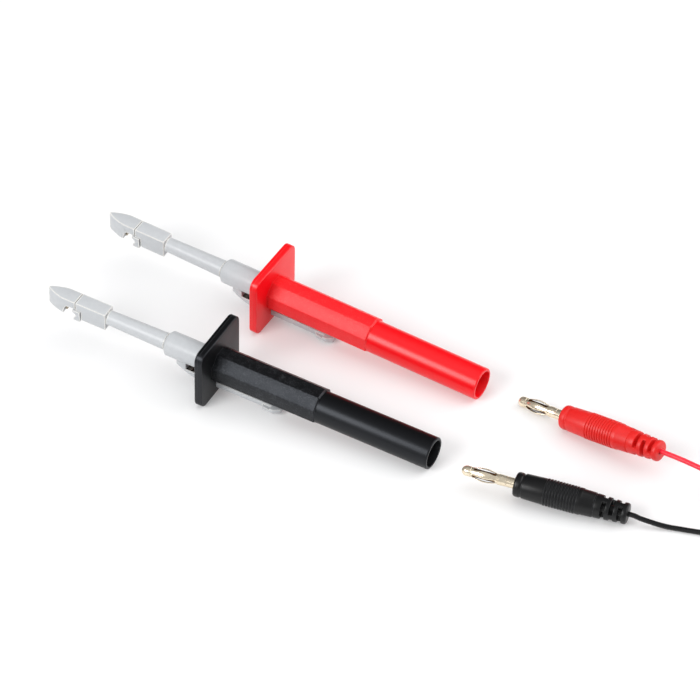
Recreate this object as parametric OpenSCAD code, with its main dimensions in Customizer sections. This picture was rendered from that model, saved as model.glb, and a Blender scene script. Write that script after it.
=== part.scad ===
// Two hook-clip test probes, each with a sliding nose and a shrouded 4 mm socket, and their two
// plug leads. Each probe is drawn along X with its socket mouth at x = 0 and its nose at -X, then
// tilted until it rests on its flange and its tail.

/* [Handle] */
// Outside diameter of the socket shroud
shroud_d = 11.8; // [11:0.1:14]
// Bore of the socket shroud
shroud_bore = 9.8; // [9:0.1:10.2]
// Length of the round shroud behind the octagonal barrel
shroud_len = 44; // [38:0.5:60]
// Depth of the shroud bore from the mouth
shroud_depth = 34; // [30:0.5:36]
// Rounding of the mouth's rim
rim_round = 0.5; // [0.2:0.1:0.8]
// Wall between the shroud bore and the spring chamber
partition_t = 12; // [8:0.5:14]
// Length of the octagonal barrel
barrel_len = 41; // [38:0.5:60]
// Width of the octagonal barrel
barrel_w = 12.1; // [11.6:0.1:16]
// Height of the octagonal barrel
barrel_h = 12.7; // [12.3:0.1:16]
// Height of the barrel's middle above the axis
barrel_lift = 0.3; // [0:0.1:0.5]
// Leg of the barrel's four corner facets
barrel_facet = 3.6; // [2.5:0.1:4]
// Depth of the step where the barrel meets the shroud
barrel_step = 0.45; // [0.2:0.05:0.6]
// Thickness of the finger flange
flange_t = 2.5; // [1.8:0.1:4]
// Width of the finger flange
flange_w = 26; // [20:0.5:34]
// Reach of the flange above the axis
flange_up = 13.8; // [11:0.1:18]
// Reach of the flange below the axis
flange_down = 11.6; // [11.3:0.1:16]
// Corner radius of the flange
flange_r = 3.4; // [1:0.1:6]

/* [Sliding sleeve] */
// Diameter of the collar
collar_d = 9.2; // [8.9:0.1:9.6]
// Length of collar that shows in front of the flange
collar_reach = 19.5; // [17:0.5:26]
// Length of collar inside the barrel
collar_inside = 15.6; // [12:0.2:18]
// Rounding of the collar's front edge
collar_round = 1.1; // [0.4:0.1:1.4]
// Depth of the shaft's seat in the collar
shaft_seat = 13; // [8:0.5:15]
// Wall between the shaft's seat and the spring's seat
collar_web = 4; // [2:0.5:5]
// How far the sleeve slides towards the tail
travel = 9.5; // [6:0.1:9.6]
// Width of the rail under the barrel
rail_w = 6; // [4.5:0.1:7]
// Height of the rail
rail_h = 2.8; // [2:0.1:3]
// Distance from the collar's front to the top of the ramp
ramp_at = 5.6; // [5:0.1:7]
// Length of the ramp down to the rail
ramp_len = 6.2; // [5:0.1:7]
// Length of the join between collar and rail
ramp_join = 4; // [3:0.1:5]
// Distance from the flange's rear face to the thumb pad
pad_at = 18.5; // [16:0.5:24]
// Length of the thumb pad
pad_len = 7.5; // [6:0.1:10]
// Width of the thumb pad
pad_w = 9.4; // [8:0.2:12]
// Thickness of the thumb pad's front lip
pad_lip = 1.5; // [1:0.1:2]
// Depth of the hollow under the thumb pad
pad_hollow = 0.45; // [0.2:0.05:0.8]

/* [Nose] */
// Diameter of the shaft
shaft_d = 6.3; // [6:0.1:7]
// Diameter of the shaft where it meets the head
neck_d = 5.4; // [4.8:0.1:5.5]
// Length of shaft that shows between collar and head
shaft_reach = 23.8; // [20:0.2:40]
// Length of the head
head_len = 12.1; // [11:0.1:16]
// Width of the head
head_w = 5.6; // [5.4:0.1:7]
// Reach of the head above the axis
head_up = 3.1; // [3:0.1:4]
// Reach of the head below the axis
head_down = 4.2; // [3.8:0.1:5]
// Length of the cross jaw
jaw_len = 2.7; // [2.4:0.1:4]
// Width of the cross jaw
jaw_w = 6.7; // [6:0.1:8]
// Height of the cross jaw
jaw_h = 4.5; // [4:0.1:5]
// How far the cross jaw reaches in front of the head's seam
jaw_reach = 1; // [0.6:0.1:1.4]
// Depth of the jaw's V notch
jaw_notch = 1.5; // [0.8:0.1:2]

/* [Hook] */
// Length of the beak in front of the seam
beak_len = 12; // [11:0.1:14]
// Length of the beak's taper from the tip
beak_taper = 7; // [5:0.1:8]
// How full the taper is: 1 is straight, more is rounder
beak_fullness = 1.6; // [1:0.1:2.2]
// Reach of the beak's tip below the axis
beak_down = 4.4; // [4.2:0.1:5]
// Distance from the tip to the point of the barb
barb_at = 6.65; // [6:0.05:7]
// Reach of the barb's point below the axis
barb_down = 4.1; // [3.8:0.1:4.6]
// Length of the curved throat behind the barb
throat_len = 1.95; // [1.5:0.05:2.4]
// Underside of the beak behind the throat, below the axis
throat_top = 0.15; // [0.1:0.01:0.2]
// Length of the beak's tang inside the head
tang_len = 11.4; // [10.5:0.1:11.6]
// Width of the tang
tang_w = 3; // [2.6:0.1:3.2]
// Diameter of the contact rod
rod_d = 1.8; // [1.4:0.1:1.9]
// Height of the contact rod above the axis
rod_lift = 1.1; // [1:0.05:1.2]
// Thickness of the metal hook contact
contact_t = 0.6; // [0.4:0.05:0.8]

/* [Socket] */
// Bore of the contact sleeve
contact_bore = 4; // [3.9:0.01:4.1]
// Outside diameter of the contact sleeve
contact_d = 6; // [5.4:0.1:7]
// Depth of the contact sleeve's bore
contact_depth = 20; // [16:0.5:22]
// Distance from the shroud's mouth to the contact sleeve
contact_recess = 7; // [4:0.5:9]
// Diameter of the contact sleeve's stem
stem_d = 4.8; // [4.6:0.1:5]
// Diameter of the contact sleeve's shoulder
shoulder_d = 8.4; // [7.6:0.1:8.8]
// Thickness of the lock nut
nut_t = 3.2; // [2:0.1:4]
// Width of the lock nut across its corners
nut_d = 6.4; // [6.2:0.1:6.5]

/* [Return spring] */
// Mean diameter of the spring
spring_d = 7.3; // [7.2:0.05:7.4]
// Diameter of the spring wire
spring_wire = 0.6; // [0.4:0.05:0.7]
// Number of turns of the spring
spring_turns = 9; // [6:1:12]
// Thickness of the spring washer
washer_t = 0.6; // [0.4:0.1:1]

/* [Plug] */
// Length of the pin in front of the boot
pin_len = 19.3; // [17:0.1:22]
// Diameter of the pin's nose
pin_nose_d = 3.3; // [2.8:0.1:3.4]
// Length of the pin's rounded nose
pin_nose_len = 1.9; // [1.4:0.1:2.4]
// Diameter of the pin's shank
pin_shank_d = 3.5; // [3.2:0.1:3.8]
// Diameter of the pin under the cage
pin_core_d = 2.6; // [2.2:0.1:2.8]
// Largest diameter of the lantern cage
cage_d = 4.8; // [4.2:0.1:5]
// Thickness of the cage's blades
cage_t = 0.25; // [0.2:0.05:0.35]
// Number of blades in the cage
cage_blades = 4; // [3:1:6]
// Width of the slots between the blades
cage_slot = 1.3; // [0.8:0.1:1.6]
// Length of the boot
boot_len = 40.3; // [36:0.1:48]
// Diameter of the boot's front collar
boot_collar_d = 8.7; // [8:0.1:10]
// Diameter over the boot's ribs
boot_rib_d = 9.6; // [9:0.1:11]
// Depth of the grooves between the ribs
rib_depth = 0.3; // [0.15:0.05:0.5]
// Number of ribs
rib_count = 11; // [6:1:14]
// Spacing of the ribs
rib_pitch = 1.05; // [0.9:0.05:1.1]
// Diameter of the boot's cord end
boot_end_d = 7.5; // [6.6:0.1:8]
// Width of the strain relief's slots
relief_slot = 1.45; // [0.9:0.05:1.6]
// Spacing of the strain relief's slots
relief_pitch = 2.85; // [2.4:0.05:3.1]
// Number of slots along the strain relief
relief_count = 3; // [2:1:3]
// Thickness of the strain relief's last ring
relief_end = 1.6; // [1.2:0.1:2.2]
// Diameter of the core inside the strain relief's slots
relief_core = 4.4; // [3.6:0.1:5]
// Width of the bridges that are left across each slot
relief_bridge = 2.2; // [1.4:0.1:3]

/* [Lead] */
// Diameter of the cord
cord_d = 1.8; // [1.4:0.1:1.8]
// Spacing of the coil's turns
coil_pitch = 2.25; // [2.25:0.05:2.5]
// Middle radius of the coil
coil_r = 9.8; // [9.6:0.1:11]
// Thickness of the coil's tie
tie_t = 0.5; // [0.3:0.05:0.5]
// Width of the coil's tie
tie_w = 3; // [2:0.1:4]

/* [Layout] */
// Distance from the black probe's mouth to the red probe's, across the probes
pair_gap = 37.6; // [30:0.2:60]
// Angle between the two probes
pair_angle = 2; // [0:0.5:4]

/* [Hidden] */
$fn = 64;

// Finishes of the moulded and metal pieces
BLACK = [0.10, 0.10, 0.11];
RED = [0.87, 0.10, 0.11];
GREY = [0.74, 0.75, 0.77];
STEEL = [0.78, 0.78, 0.80];
BRASS = [0.85, 0.72, 0.45];

// Clearances
slide_gap = 0.1;  // radial, between a sliding round piece and its bore
face_gap = 0.15;  // between sliding flat faces
fit_gap = 0.02;   // between pieces that are pressed or screwed together
cut = 1;          // how far a cutter runs past a face

// Stations along the probe, from the mouth at 0 towards the nose
x_barrel_end = -shroud_len;
x_flange_rear = x_barrel_end - barrel_len;
x_flange_front = x_flange_rear - flange_t;
x_collar = x_flange_front - collar_reach;
x_head_rear = x_collar - shaft_reach;
x_seam = x_head_rear - head_len;
x_tip = x_seam - beak_len;
x_partition_rear = -shroud_depth;
x_partition_front = x_partition_rear - partition_t;

// Radii and heights
shroud_r = shroud_d / 2;
collar_r = collar_d / 2;
chamber_r = collar_r + slide_gap;
shaft_r = shaft_d / 2;
rod_r = rod_d / 2;
barrel_bottom = barrel_lift - barrel_h / 2;
rail_top = barrel_bottom - face_gap;
rail_bottom = rail_top - rail_h;
spring_r = spring_d / 2;
spring_seat_r = spring_r + spring_wire / 2 + slide_gap;

// Sleeve
x_shaft_end = x_collar + shaft_seat;
x_web_rear = x_shaft_end + fit_gap + collar_web;
x_collar_end = x_flange_front + collar_inside;
x_pad = x_flange_rear + pad_at;
x_ramp = x_collar + ramp_at;
ramp_top = -shaft_r - slide_gap;

// Head and beak
tang_bottom = -throat_top;
tang_top = 2 * rod_lift - tang_bottom;
cavity_half = tang_w / 2 + face_gap;
cavity_bottom = tang_bottom - face_gap;
cavity_top = tang_top + face_gap;
jaw_top = cavity_bottom - face_gap / 3;
x_jaw_front = x_seam - jaw_reach;
x_jaw_rear = x_jaw_front + jaw_len;
peg_r = 0.8;
peg_len = 2.5;
x_contact = x_tip + barb_at + contact_t / 2;
contact_foot = -barb_down + 0.9;
rod_front = x_contact - 0.6;

// Spring
x_spring_front = x_web_rear + washer_t + 2 * fit_gap + spring_wire / 2;
x_spring_rear = x_partition_front - fit_gap - spring_wire / 2;

// The probe rests on the flange's lower rear edge and the rim of its tail
tilt = atan((flange_down - shroud_r) / (-x_flange_rear - rim_round));
mouth_z = shroud_r * cos(tilt) - rim_round * sin(tilt);
black_at = [42, -20.3];
red_at = black_at + [-1, pair_gap];

// Plug
plug_len = pin_len + boot_len;
x_cage_front = 3.4;
x_cage_rear = 13.2;
cage_band = 0.8;
cage_mid = (x_cage_front + x_cage_rear) / 2;
ribs_at = 10.8;
ribs_len = rib_count * rib_pitch;
relief_at = boot_len - relief_end - relief_slot - (relief_count - 1) * relief_pitch;
crimp_end = pin_len + 16;
wire_start = crimp_end - 4;
cord_r = cord_d / 2;
boot_rib_r = boot_rib_d / 2;
boot_end_r = boot_end_d / 2;

// A plug lies flat on its ribs and its cord end, or stands on its nose and front collar
x_rib_rest = pin_len + ribs_at + ribs_len;
x_end_rest = plug_len - 0.5;
flat_pitch = asin((boot_rib_r - boot_end_r) / (x_end_rest - x_rib_rest));
flat_z = boot_rib_r * cos(flat_pitch) + x_rib_rest * sin(flat_pitch);
x_nose_rest = pin_nose_len;
x_collar_rest = pin_len + 0.9;
nose_pitch = asin((boot_collar_d / 2 - pin_nose_d / 2) / (x_collar_rest - x_nose_rest));
nose_z = pin_nose_d / 2 * cos(nose_pitch) - x_nose_rest * sin(nose_pitch);

// A far plug's cord end points back along the set
far_heading = 180;

// Each plug: its tip, its heading, how far its cord end points down, and its turn on its own axis
black_plug = [[54.8, -23.7, flat_z], 9.6, flat_pitch, 0];
red_plug = [[54.1, 20, nose_z], -7.2, -nose_pitch, 90];
black_far = [[249.9, -1, flat_z], far_heading, flat_pitch, 0];
red_far = [[243.1, 11.5, flat_z], far_heading, flat_pitch, 0];

function plug_way(plug) = [
    cos(plug[2]) * cos(plug[1]), cos(plug[2]) * sin(plug[1]), -sin(plug[2])
];
function plug_end(plug) = plug[0] + plug_len * plug_way(plug);

// Whole turns in each coil, and by how many degrees it stops past them or short of them
coil_turns = 15;
coil_past = 10;

// Coils: centre, angle at the start, turning way and the whole angle turned
black_coil = [[172, -14.2], 100, -1, coil_turns * 360 + coil_past];
red_coil = [[165, 24], -80, 1, coil_turns * 360 - coil_past];
coil_layers = 4;
coil_lift = tie_t + 0.1 + cord_r;
coil_rings = 20;
coil_sides = 6;

// Routes of the free stretches, from the plug to the coil and from the coil to the far plug
BLACK_ROUTE = [
    [117.5, -13.1, 2.9], [121, -12.5, 2.3], [124.4, -11.7, 1.6], [127.7, -10.7, 1.1],
    [131, -9.7, 0.9], [134.3, -8.9, 0.9], [137.3, -8.1, 0.9], [142, -6.9, 0.9],
    [147, -5.7, 0.9], [152, -4.5, 0.9], [157, -3.3, 1.0], [161, -2.3, 1.2], [165, -1.4, 1.4]
];
RED_ROUTE = [
    [116, 12.2, 10.6], [119, 11.9, 10.9], [122, 11.6, 11.1], [126, 11.2, 11.2],
    [130, 10.9, 11.0], [134, 10.4, 10.2], [137, 10.0, 8.9], [140, 9.6, 7.2],
    [143, 9.3, 5.2], [146, 9.1, 3.3], [149, 8.9, 1.9], [153, 8.8, 1.1],
    [157, 8.8, 1.0], [161, 9.1, 1.2], [164, 9.5, 1.4]
];
BLACK_TAIL = [[177, -0.2, 7.9], [180, -0.4, 7.0], [183, -0.7, 5.6], [186, -0.9, 4.2]];
RED_TAIL = [[170, 10.2, 7.9], [173, 10.7, 7.0], [176, 11.2, 5.6], [179, 11.5, 4.2]];

// ---- Helpers ----

// An outline drawn across the probe, Y to its right and Z up, between two stations
module across(x0, x1) {
    translate([x0, 0, 0])
        rotate([90, 0, 90])
            linear_extrude(x1 - x0)
                children();
}

// An outline drawn along the probe, X to its right and Z up, of a given width
module along(width) {
    translate([0, width / 2, 0])
        rotate([90, 0, 0])
            linear_extrude(width)
                children();
}

// A body turned on the X axis from an outline of [radius, x]
module turned() {
    rotate([0, 90, 0])
        rotate_extrude()
            children();
}

// A round bar on the X axis
module bar(x0, x1, r) {
    translate([x0, 0, 0])
        rotate([0, 90, 0])
            cylinder(h = x1 - x0, r = r);
}

module rounded_rect(w, z0, z1, r) {
    translate([-w / 2 + r, z0])
        square([w - 2 * r, z1 - z0]);
    translate([-w / 2, z0 + r])
        square([w, z1 - z0 - 2 * r]);
    for (y = [-w / 2 + r, w / 2 - r], z = [z0 + r, z1 - r])
        translate([y, z])
            circle(r = r);
}

module octagon(inset) {
    w = barrel_w / 2 - inset;
    h = barrel_h / 2 - inset;
    f = barrel_facet - inset * (2 - sqrt(2));
    translate([0, barrel_lift])
        polygon([
            [-w, f - h], [f - w, -h], [w - f, -h], [w, f - h],
            [w, h - f], [w - f, h], [f - w, h], [-w, h - f]
        ]);
}

// Puts a probe on the surface, nose up, with its mouth at a place and turned by an angle
module probe_place(at, turn) {
    translate([at[0], at[1], mouth_z])
        rotate([0, tilt, -turn])
            children();
}

module on_black_probe() probe_place(black_at, 0) children();

module on_red_probe() probe_place(red_at, pair_angle) children();

// Puts a plug where it lies
module plug_place(plug) {
    translate(plug[0])
        rotate([0, plug[2], plug[1]])
            rotate([plug[3], 0, 0])
                children();
}

function unit(v) = v / norm(v);

function heading(path, i) = unit(path[min(i + 1, len(path) - 1)] - path[max(i - 1, 0)]);

function ring(centre, way, r, sides) =
    let (side = unit(cross(way, [0, 0, 1])), up = cross(side, way))
    [for (k = [0 : sides - 1]) let (a = 360 * k / sides) centre + r * (cos(a) * side + sin(a) * up)];

// One unbroken tube through the points of a path
module tube(path, r, sides) {
    n = len(path);
    last = (n - 1) * sides;
    points = [for (i = [0 : n - 1]) each ring(path[i], heading(path, i), r, sides)];
    walls = [
        for (i = [0 : n - 2], k = [0 : sides - 1])
            let (a = i * sides + k, b = i * sides + (k + 1) % sides)
            each [[a, b, b + sides], [a, b + sides, a + sides]]
    ];
    start = [for (k = [1 : sides - 2]) [0, k + 1, k]];
    end = [for (k = [1 : sides - 2]) [last, last + k, last + k + 1]];
    polyhedron(points = points, faces = concat(walls, start, end));
}

// The least gap between stretches of a tube that lie half a turn or more apart
function least_gap(path, r, skip) =
    min([
        for (i = [0 : len(path) - 1 - skip], j = [i + skip : len(path) - 1])
            norm(path[i] - path[j])
    ]) - 2 * r;

// ---- Probe ----

module handle(paint) {
    color(paint)
        difference() {
            union() {
                across(x_flange_front, x_flange_rear)
                    rounded_rect(flange_w, -flange_down, flange_up, flange_r);
                across(x_flange_rear, x_barrel_end - barrel_step)
                    octagon(0);
                across(x_barrel_end - 2 * barrel_step, x_barrel_end)
                    octagon(barrel_step);
                turned()
                    polygon([
                        [0, x_barrel_end - cut], [shroud_r, x_barrel_end - cut], [shroud_r, -rim_round],
                        for (a = [15 : 15 : 75])
                            [shroud_r - rim_round * (1 - cos(a)), -rim_round * (1 - sin(a))],
                        [shroud_r - rim_round, 0], [0, 0]
                    ]);
            }
            bar(x_flange_front - cut, x_partition_front, chamber_r);
            bar(x_partition_front - cut, x_partition_rear + cut, stem_d / 2 + fit_gap);
            bar(x_partition_rear, cut, shroud_bore / 2);
            across(x_flange_front - cut, x_flange_rear + cut)
                translate([-rail_w / 2 - face_gap, rail_bottom - face_gap])
                    square([rail_w + 2 * face_gap, barrel_bottom - rail_bottom + face_gap]);
        }
}

module ramp_and_rail() {
    along(rail_w)
        polygon([
            [x_ramp, ramp_top], [x_ramp, -collar_r - 1], [x_ramp + 0.5 * ramp_len, rail_top - 0.9],
            [x_ramp + ramp_len, rail_bottom], [x_pad + 2, rail_bottom], [x_pad + 2, rail_top],
            [x_ramp + ramp_join, rail_top], [x_ramp + ramp_join, ramp_top]
        ]);
}

module thumb_pad() {
    ridge = x_pad + 0.68 * pad_len;
    step = x_pad + 0.5 * pad_len;
    rear = x_pad + pad_len;
    difference() {
        translate([0, 0, rail_bottom])
            linear_extrude(rail_h)
                polygon([
                    [x_pad, -rail_w / 2], [x_pad + 1, -0.43 * pad_w], [ridge, -pad_w / 2],
                    [rear, -0.33 * pad_w], [rear, 0.33 * pad_w], [ridge, pad_w / 2],
                    [x_pad + 1, 0.43 * pad_w], [x_pad, rail_w / 2]
                ]);
        for (side = [-1, 1])
            translate([x_pad - cut, side * (rail_w + pad_w) / 2 - pad_w / 2, rail_bottom + pad_lip])
                cube([step - x_pad + cut, pad_w, rail_h]);
        hollow_r = pad_len * pad_len / (12 * pad_hollow);
        translate([ridge, 0, rail_bottom + pad_hollow - hollow_r])
            rotate([90, 0, 0])
                cylinder(h = pad_w + 2 * cut, r = hollow_r, center = true);
    }
}

module slide_sleeve() {
    color(GREY)
        difference() {
            union() {
                turned()
                    polygon([
                        [0, x_collar], [collar_r - collar_round, x_collar],
                        for (a = [15 : 15 : 75])
                            [
                                collar_r - collar_round * (1 - sin(a)),
                                x_collar + collar_round * (1 - cos(a))
                            ],
                        [collar_r, x_collar + collar_round], [collar_r, x_collar_end], [0, x_collar_end]
                    ]);
                ramp_and_rail();
                thumb_pad();
            }
            bar(x_collar - cut, x_shaft_end + fit_gap, shaft_r + fit_gap);
            translate([0, 0, rod_lift])
                bar(x_shaft_end, x_web_rear + cut, rod_r + 2 * slide_gap);
            bar(x_web_rear, x_collar_end + cut, spring_seat_r);
        }
}

module nose_barrel() {
    color(GREY)
        difference() {
            union() {
                turned()
                    polygon([
                        [0, x_head_rear - cut], [neck_d / 2, x_head_rear - cut],
                        [neck_d / 2, x_head_rear], [shaft_r, x_collar - cut],
                        [shaft_r, x_shaft_end], [0, x_shaft_end]
                    ]);
                along(head_w)
                    polygon([
                        [x_seam, head_up], [x_seam, cavity_bottom], [x_jaw_rear + fit_gap, cavity_bottom],
                        [x_jaw_rear + fit_gap, -head_down], [x_head_rear - 0.5, -head_down],
                        [x_head_rear, 0.5 - head_down], [x_head_rear, head_up - 0.5],
                        [x_head_rear - 0.5, head_up]
                    ]);
            }
            translate([x_seam - cut, -cavity_half, cavity_bottom])
                cube([tang_len + face_gap + cut, 2 * cavity_half, cavity_top - cavity_bottom]);
            translate([0, 0, rod_lift])
                bar(x_seam, x_shaft_end + cut, rod_r + slide_gap);
            translate([0, 0, jaw_top - jaw_h / 2])
                bar(x_jaw_rear, x_jaw_rear + peg_len, peg_r + fit_gap);
        }
}

module clamp_jaw() {
    color(GREY) {
        along(jaw_w)
            polygon([
                [x_jaw_front, jaw_top], [x_jaw_rear, jaw_top], [x_jaw_rear, jaw_top - jaw_h],
                [x_jaw_front + 0.6, jaw_top - jaw_h], [x_jaw_front + 0.4, jaw_top - 0.85 * jaw_h],
                [x_jaw_front + jaw_notch, jaw_top - 0.45 * jaw_h], [x_jaw_front, jaw_top - 0.15 * jaw_h]
            ]);
        translate([0, 0, jaw_top - jaw_h / 2])
            bar(x_jaw_rear - cut, x_jaw_rear + peg_len - fit_gap, peg_r);
    }
}

// Half the beak's width at a distance behind its tip
function beak_half(s) =
    let (blunt = 0.3)
    blunt + (head_w / 2 - blunt) * (1 - pow(1 - s / beak_taper, beak_fullness));

module beak_side() {
    x_throat = x_tip + barb_at + throat_len;
    throat_h = barb_down - throat_top;
    polygon([
        [x_seam - fit_gap, head_up], [x_tip + 0.4, head_up], [x_tip, head_up - 0.4],
        [x_tip, 0.8 - beak_down], [x_tip + 0.3, 0.3 - beak_down], [x_tip + 0.9, -beak_down],
        for (a = [0 : 10 : 90])
            [x_throat - throat_len * cos(a), throat_h * sin(a) - barb_down],
        [x_seam - fit_gap, -throat_top]
    ]);
}

module beak_plan() {
    steps = 8;
    side = [for (i = [0 : steps]) let (s = beak_taper * i / steps) [x_tip + s, beak_half(s)]];
    other = [for (i = [steps : -1 : 0]) [side[i][0], -side[i][1]]];
    polygon(concat(side, [[x_seam, head_w / 2], [x_seam, -head_w / 2]], other));
}

module hook_beak() {
    color(GREY)
        difference() {
            union() {
                intersection() {
                    along(head_w)
                        beak_side();
                    translate([0, 0, -beak_down - cut])
                        linear_extrude(head_up + beak_down + 2 * cut)
                            beak_plan();
                }
                translate([x_seam - cut, -tang_w / 2, tang_bottom])
                    cube([tang_len + cut, tang_w, tang_top - tang_bottom]);
            }
            translate([0, 0, rod_lift])
                bar(rod_front - fit_gap, x_seam + tang_len + cut, rod_r + fit_gap);
            translate([x_contact - fit_gap, -tang_w / 2 - fit_gap, contact_foot - fit_gap])
                cube([
                    contact_t + 2 * fit_gap, tang_w + 2 * fit_gap,
                    tang_top - contact_foot + 2 * fit_gap
                ]);
        }
}

module hook_contact() {
    color(BRASS)
        difference() {
            translate([x_contact, -tang_w / 2, contact_foot])
                cube([contact_t, tang_w, tang_top - contact_foot]);
            translate([0, 0, rod_lift])
                bar(x_contact - cut, x_contact + contact_t + cut, rod_r + fit_gap);
        }
}

module contact_rod() {
    color(STEEL)
        translate([0, 0, rod_lift])
            bar(rod_front, x_partition_front + 3, rod_r);
}

module return_spring() {
    span = x_spring_rear - x_spring_front;
    steps = spring_turns * 8;
    path = [
        for (i = [0 : steps])
            let (a = 360 * i / 8)
            [x_spring_front + span * i / steps, spring_r * cos(a), spring_r * sin(a)]
    ];
    color(STEEL)
        tube(path, spring_wire / 2, 6);
}

module spring_washer() {
    color(STEEL)
        difference() {
            bar(x_web_rear + fit_gap, x_web_rear + fit_gap + washer_t, spring_seat_r - 2 * fit_gap);
            translate([0, 0, rod_lift])
                bar(x_web_rear - cut, x_web_rear + washer_t + cut, rod_r + 2 * slide_gap);
        }
}

module socket_contact() {
    x_front = -contact_recess;
    x_bottom = x_front - contact_depth;
    x_stem = x_partition_front - nut_t - 1.5;
    color(STEEL)
        difference() {
            turned()
                polygon([
                    [contact_bore / 2, x_bottom], [contact_bore / 2, x_front - 0.4],
                    [contact_bore / 2 + 0.4, x_front], [contact_d / 2 - 0.3, x_front],
                    [contact_d / 2, x_front - 0.3], [contact_d / 2, x_partition_rear + 1 + fit_gap],
                    [shoulder_d / 2, x_partition_rear + 1 + fit_gap],
                    [shoulder_d / 2, x_partition_rear + fit_gap],
                    [stem_d / 2, x_partition_rear + fit_gap], [stem_d / 2, x_stem],
                    [0, x_stem], [0, x_bottom]
                ]);
            translate([0, 0, rod_lift])
                bar(x_stem - cut, x_partition_front + 3 + fit_gap, rod_r + fit_gap);
        }
}

module lock_nut() {
    color(BRASS)
        difference() {
            translate([x_partition_front - fit_gap - nut_t, 0, 0])
                rotate([0, 90, 0])
                    cylinder(h = nut_t, d = nut_d, $fn = 6);
            bar(x_partition_front - nut_t - cut, x_partition_front + cut, stem_d / 2 + fit_gap);
        }
}

// ---- Plug and lead ----

module plug_pin() {
    nose_r = pin_nose_d / 2;
    shank_r = pin_shank_d / 2;
    core_r = pin_core_d / 2;
    color(STEEL)
        difference() {
            turned()
                polygon([
                    for (a = [0 : 15 : 90]) [nose_r * sin(a), pin_nose_len * (1 - cos(a))],
                    [nose_r, x_cage_front - fit_gap], [core_r, x_cage_front - fit_gap],
                    [core_r, x_cage_rear + fit_gap], [shank_r, x_cage_rear + fit_gap],
                    [shank_r, x_cage_rear + 1.6], [shank_r - 0.15, x_cage_rear + 1.9],
                    [shank_r - 0.15, crimp_end], [0, crimp_end]
                ]);
            bar(wire_start, crimp_end + cut, cord_r + fit_gap);
        }
}

module lantern_cage() {
    core_r = pin_core_d / 2 + fit_gap;
    bulge = cage_d / 2 - cage_t - core_r;
    x0 = x_cage_front;
    x1 = x_cage_rear;
    reach = x1 - x0 - 2 * cage_band;
    inner = [
        for (i = [0 : 8])
            let (u = i / 8)
            [core_r + bulge * sin(180 * u), x0 + cage_band + reach * u]
    ];
    outer = [for (i = [8 : -1 : 0]) inner[i] + [cage_t, 0]];
    color(BRASS)
        difference() {
            turned()
                polygon(concat(
                    [[core_r, x0]], inner, [[core_r, x1], [core_r + cage_t, x1]],
                    outer, [[core_r + cage_t, x0]]
                ));
            for (k = [0 : cage_blades - 1])
                rotate([360 * k / cage_blades, 0, 0])
                    translate([x0 + cage_band, -cage_slot / 2, 0])
                        cube([reach, cage_slot, cage_d]);
        }
}

function rib_points() = [
    for (i = [0 : rib_count - 1])
        let (x = ribs_at + i * rib_pitch)
        each [
            [boot_rib_r, x], [boot_rib_r, x + 0.6 * rib_pitch],
            [boot_rib_r - rib_depth, x + 0.7 * rib_pitch],
            [boot_rib_r - rib_depth, x + 0.95 * rib_pitch]
        ]
];

module relief_ring(x, turn) {
    difference() {
        bar(x, x + relief_slot, boot_rib_r);
        bar(x - cut, x + relief_slot + cut, relief_core / 2);
        rotate([turn, 0, 0])
            translate([x - cut, -relief_bridge / 2, -boot_rib_d])
                cube([relief_slot + 2 * cut, relief_bridge, 2 * boot_rib_d]);
    }
}

module plug_boot(paint) {
    collar = boot_collar_d / 2;
    color(paint)
        translate([pin_len, 0, 0])
            difference() {
                turned()
                    polygon(concat(
                        [
                            [0, 0], [collar - 0.7, 0], [collar - 0.2, 0.3], [collar, 0.9],
                            [collar, 2], [collar - 0.2, 3], [collar, 4], [boot_rib_r - 0.2, ribs_at - 0.6]
                        ],
                        rib_points(),
                        [
                            [boot_rib_r - 0.1, ribs_at + ribs_len + 1.2],
                            [boot_rib_r - 0.3, ribs_at + ribs_len + 1.6],
                            [boot_end_r + 0.6, relief_at - 2.9], [boot_end_r + 0.3, relief_at - 2.8],
                            [boot_end_r + 0.3, relief_at - 2.4], [boot_end_r + 0.5, relief_at - 2.3],
                            [boot_end_r, boot_len - 0.5], [boot_end_r - 0.5, boot_len], [0, boot_len]
                        ]
                    ));
                for (i = [0 : relief_count - 1])
                    relief_ring(relief_at + i * relief_pitch, i % 2 == 0 ? 0 : 90);
                bar(-cut, crimp_end - pin_len + fit_gap, pin_shank_d / 2 - 0.15 + fit_gap);
                bar(crimp_end - pin_len, boot_len + cut, cord_r + fit_gap);
            }
}

module plug_wire(paint) {
    color(paint)
        bar(wire_start + fit_gap, plug_len, cord_r);
}

function coil_turns(coil) = coil[3] / 360;

function coil_layer_turns(coil) = coil_turns(coil) / coil_layers;

// Where the spiral stands after t turns: in and out again, a layer up in each half turn of reversal
function coil_radius(coil, t) =
    let (n = coil_layer_turns(coil), layer = floor(t / n), u = t / n - layer)
    coil_r + coil_pitch * n * (layer % 2 == 0 ? 0.5 - u : u - 0.5);

function coil_height(coil, t) =
    let (n = coil_layer_turns(coil))
    coil_lift + coil_pitch * (
        max(0, min(1, 2 * (t - n) + 0.5)) + max(0, min(1, 2 * (t - 2 * n) + 0.5))
        + max(0, min(1, 2 * (t - 3 * n) + 0.5))
    );

function coil_point(coil, t) =
    let (a = coil[1] + coil[2] * 360 * t, r = coil_radius(coil, t))
    [coil[0][0] + r * cos(a), coil[0][1] + r * sin(a), coil_height(coil, t)];

function coil_way(coil, t) =
    let (a = coil[1] + coil[2] * (360 * t + 90))
    [cos(a), sin(a), 0];

function coil_path(coil) =
    let (turns = coil_turns(coil), steps = round(turns * coil_rings), last = turns - 0.0001)
    [
        coil_point(coil, 0),
        coil_point(coil, 0) + cord_d * coil_way(coil, 0),
        for (i = [3 : steps - 3]) coil_point(coil, turns * i / steps),
        coil_point(coil, last) - cord_d * coil_way(coil, last),
        coil_point(coil, last)
    ];

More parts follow.
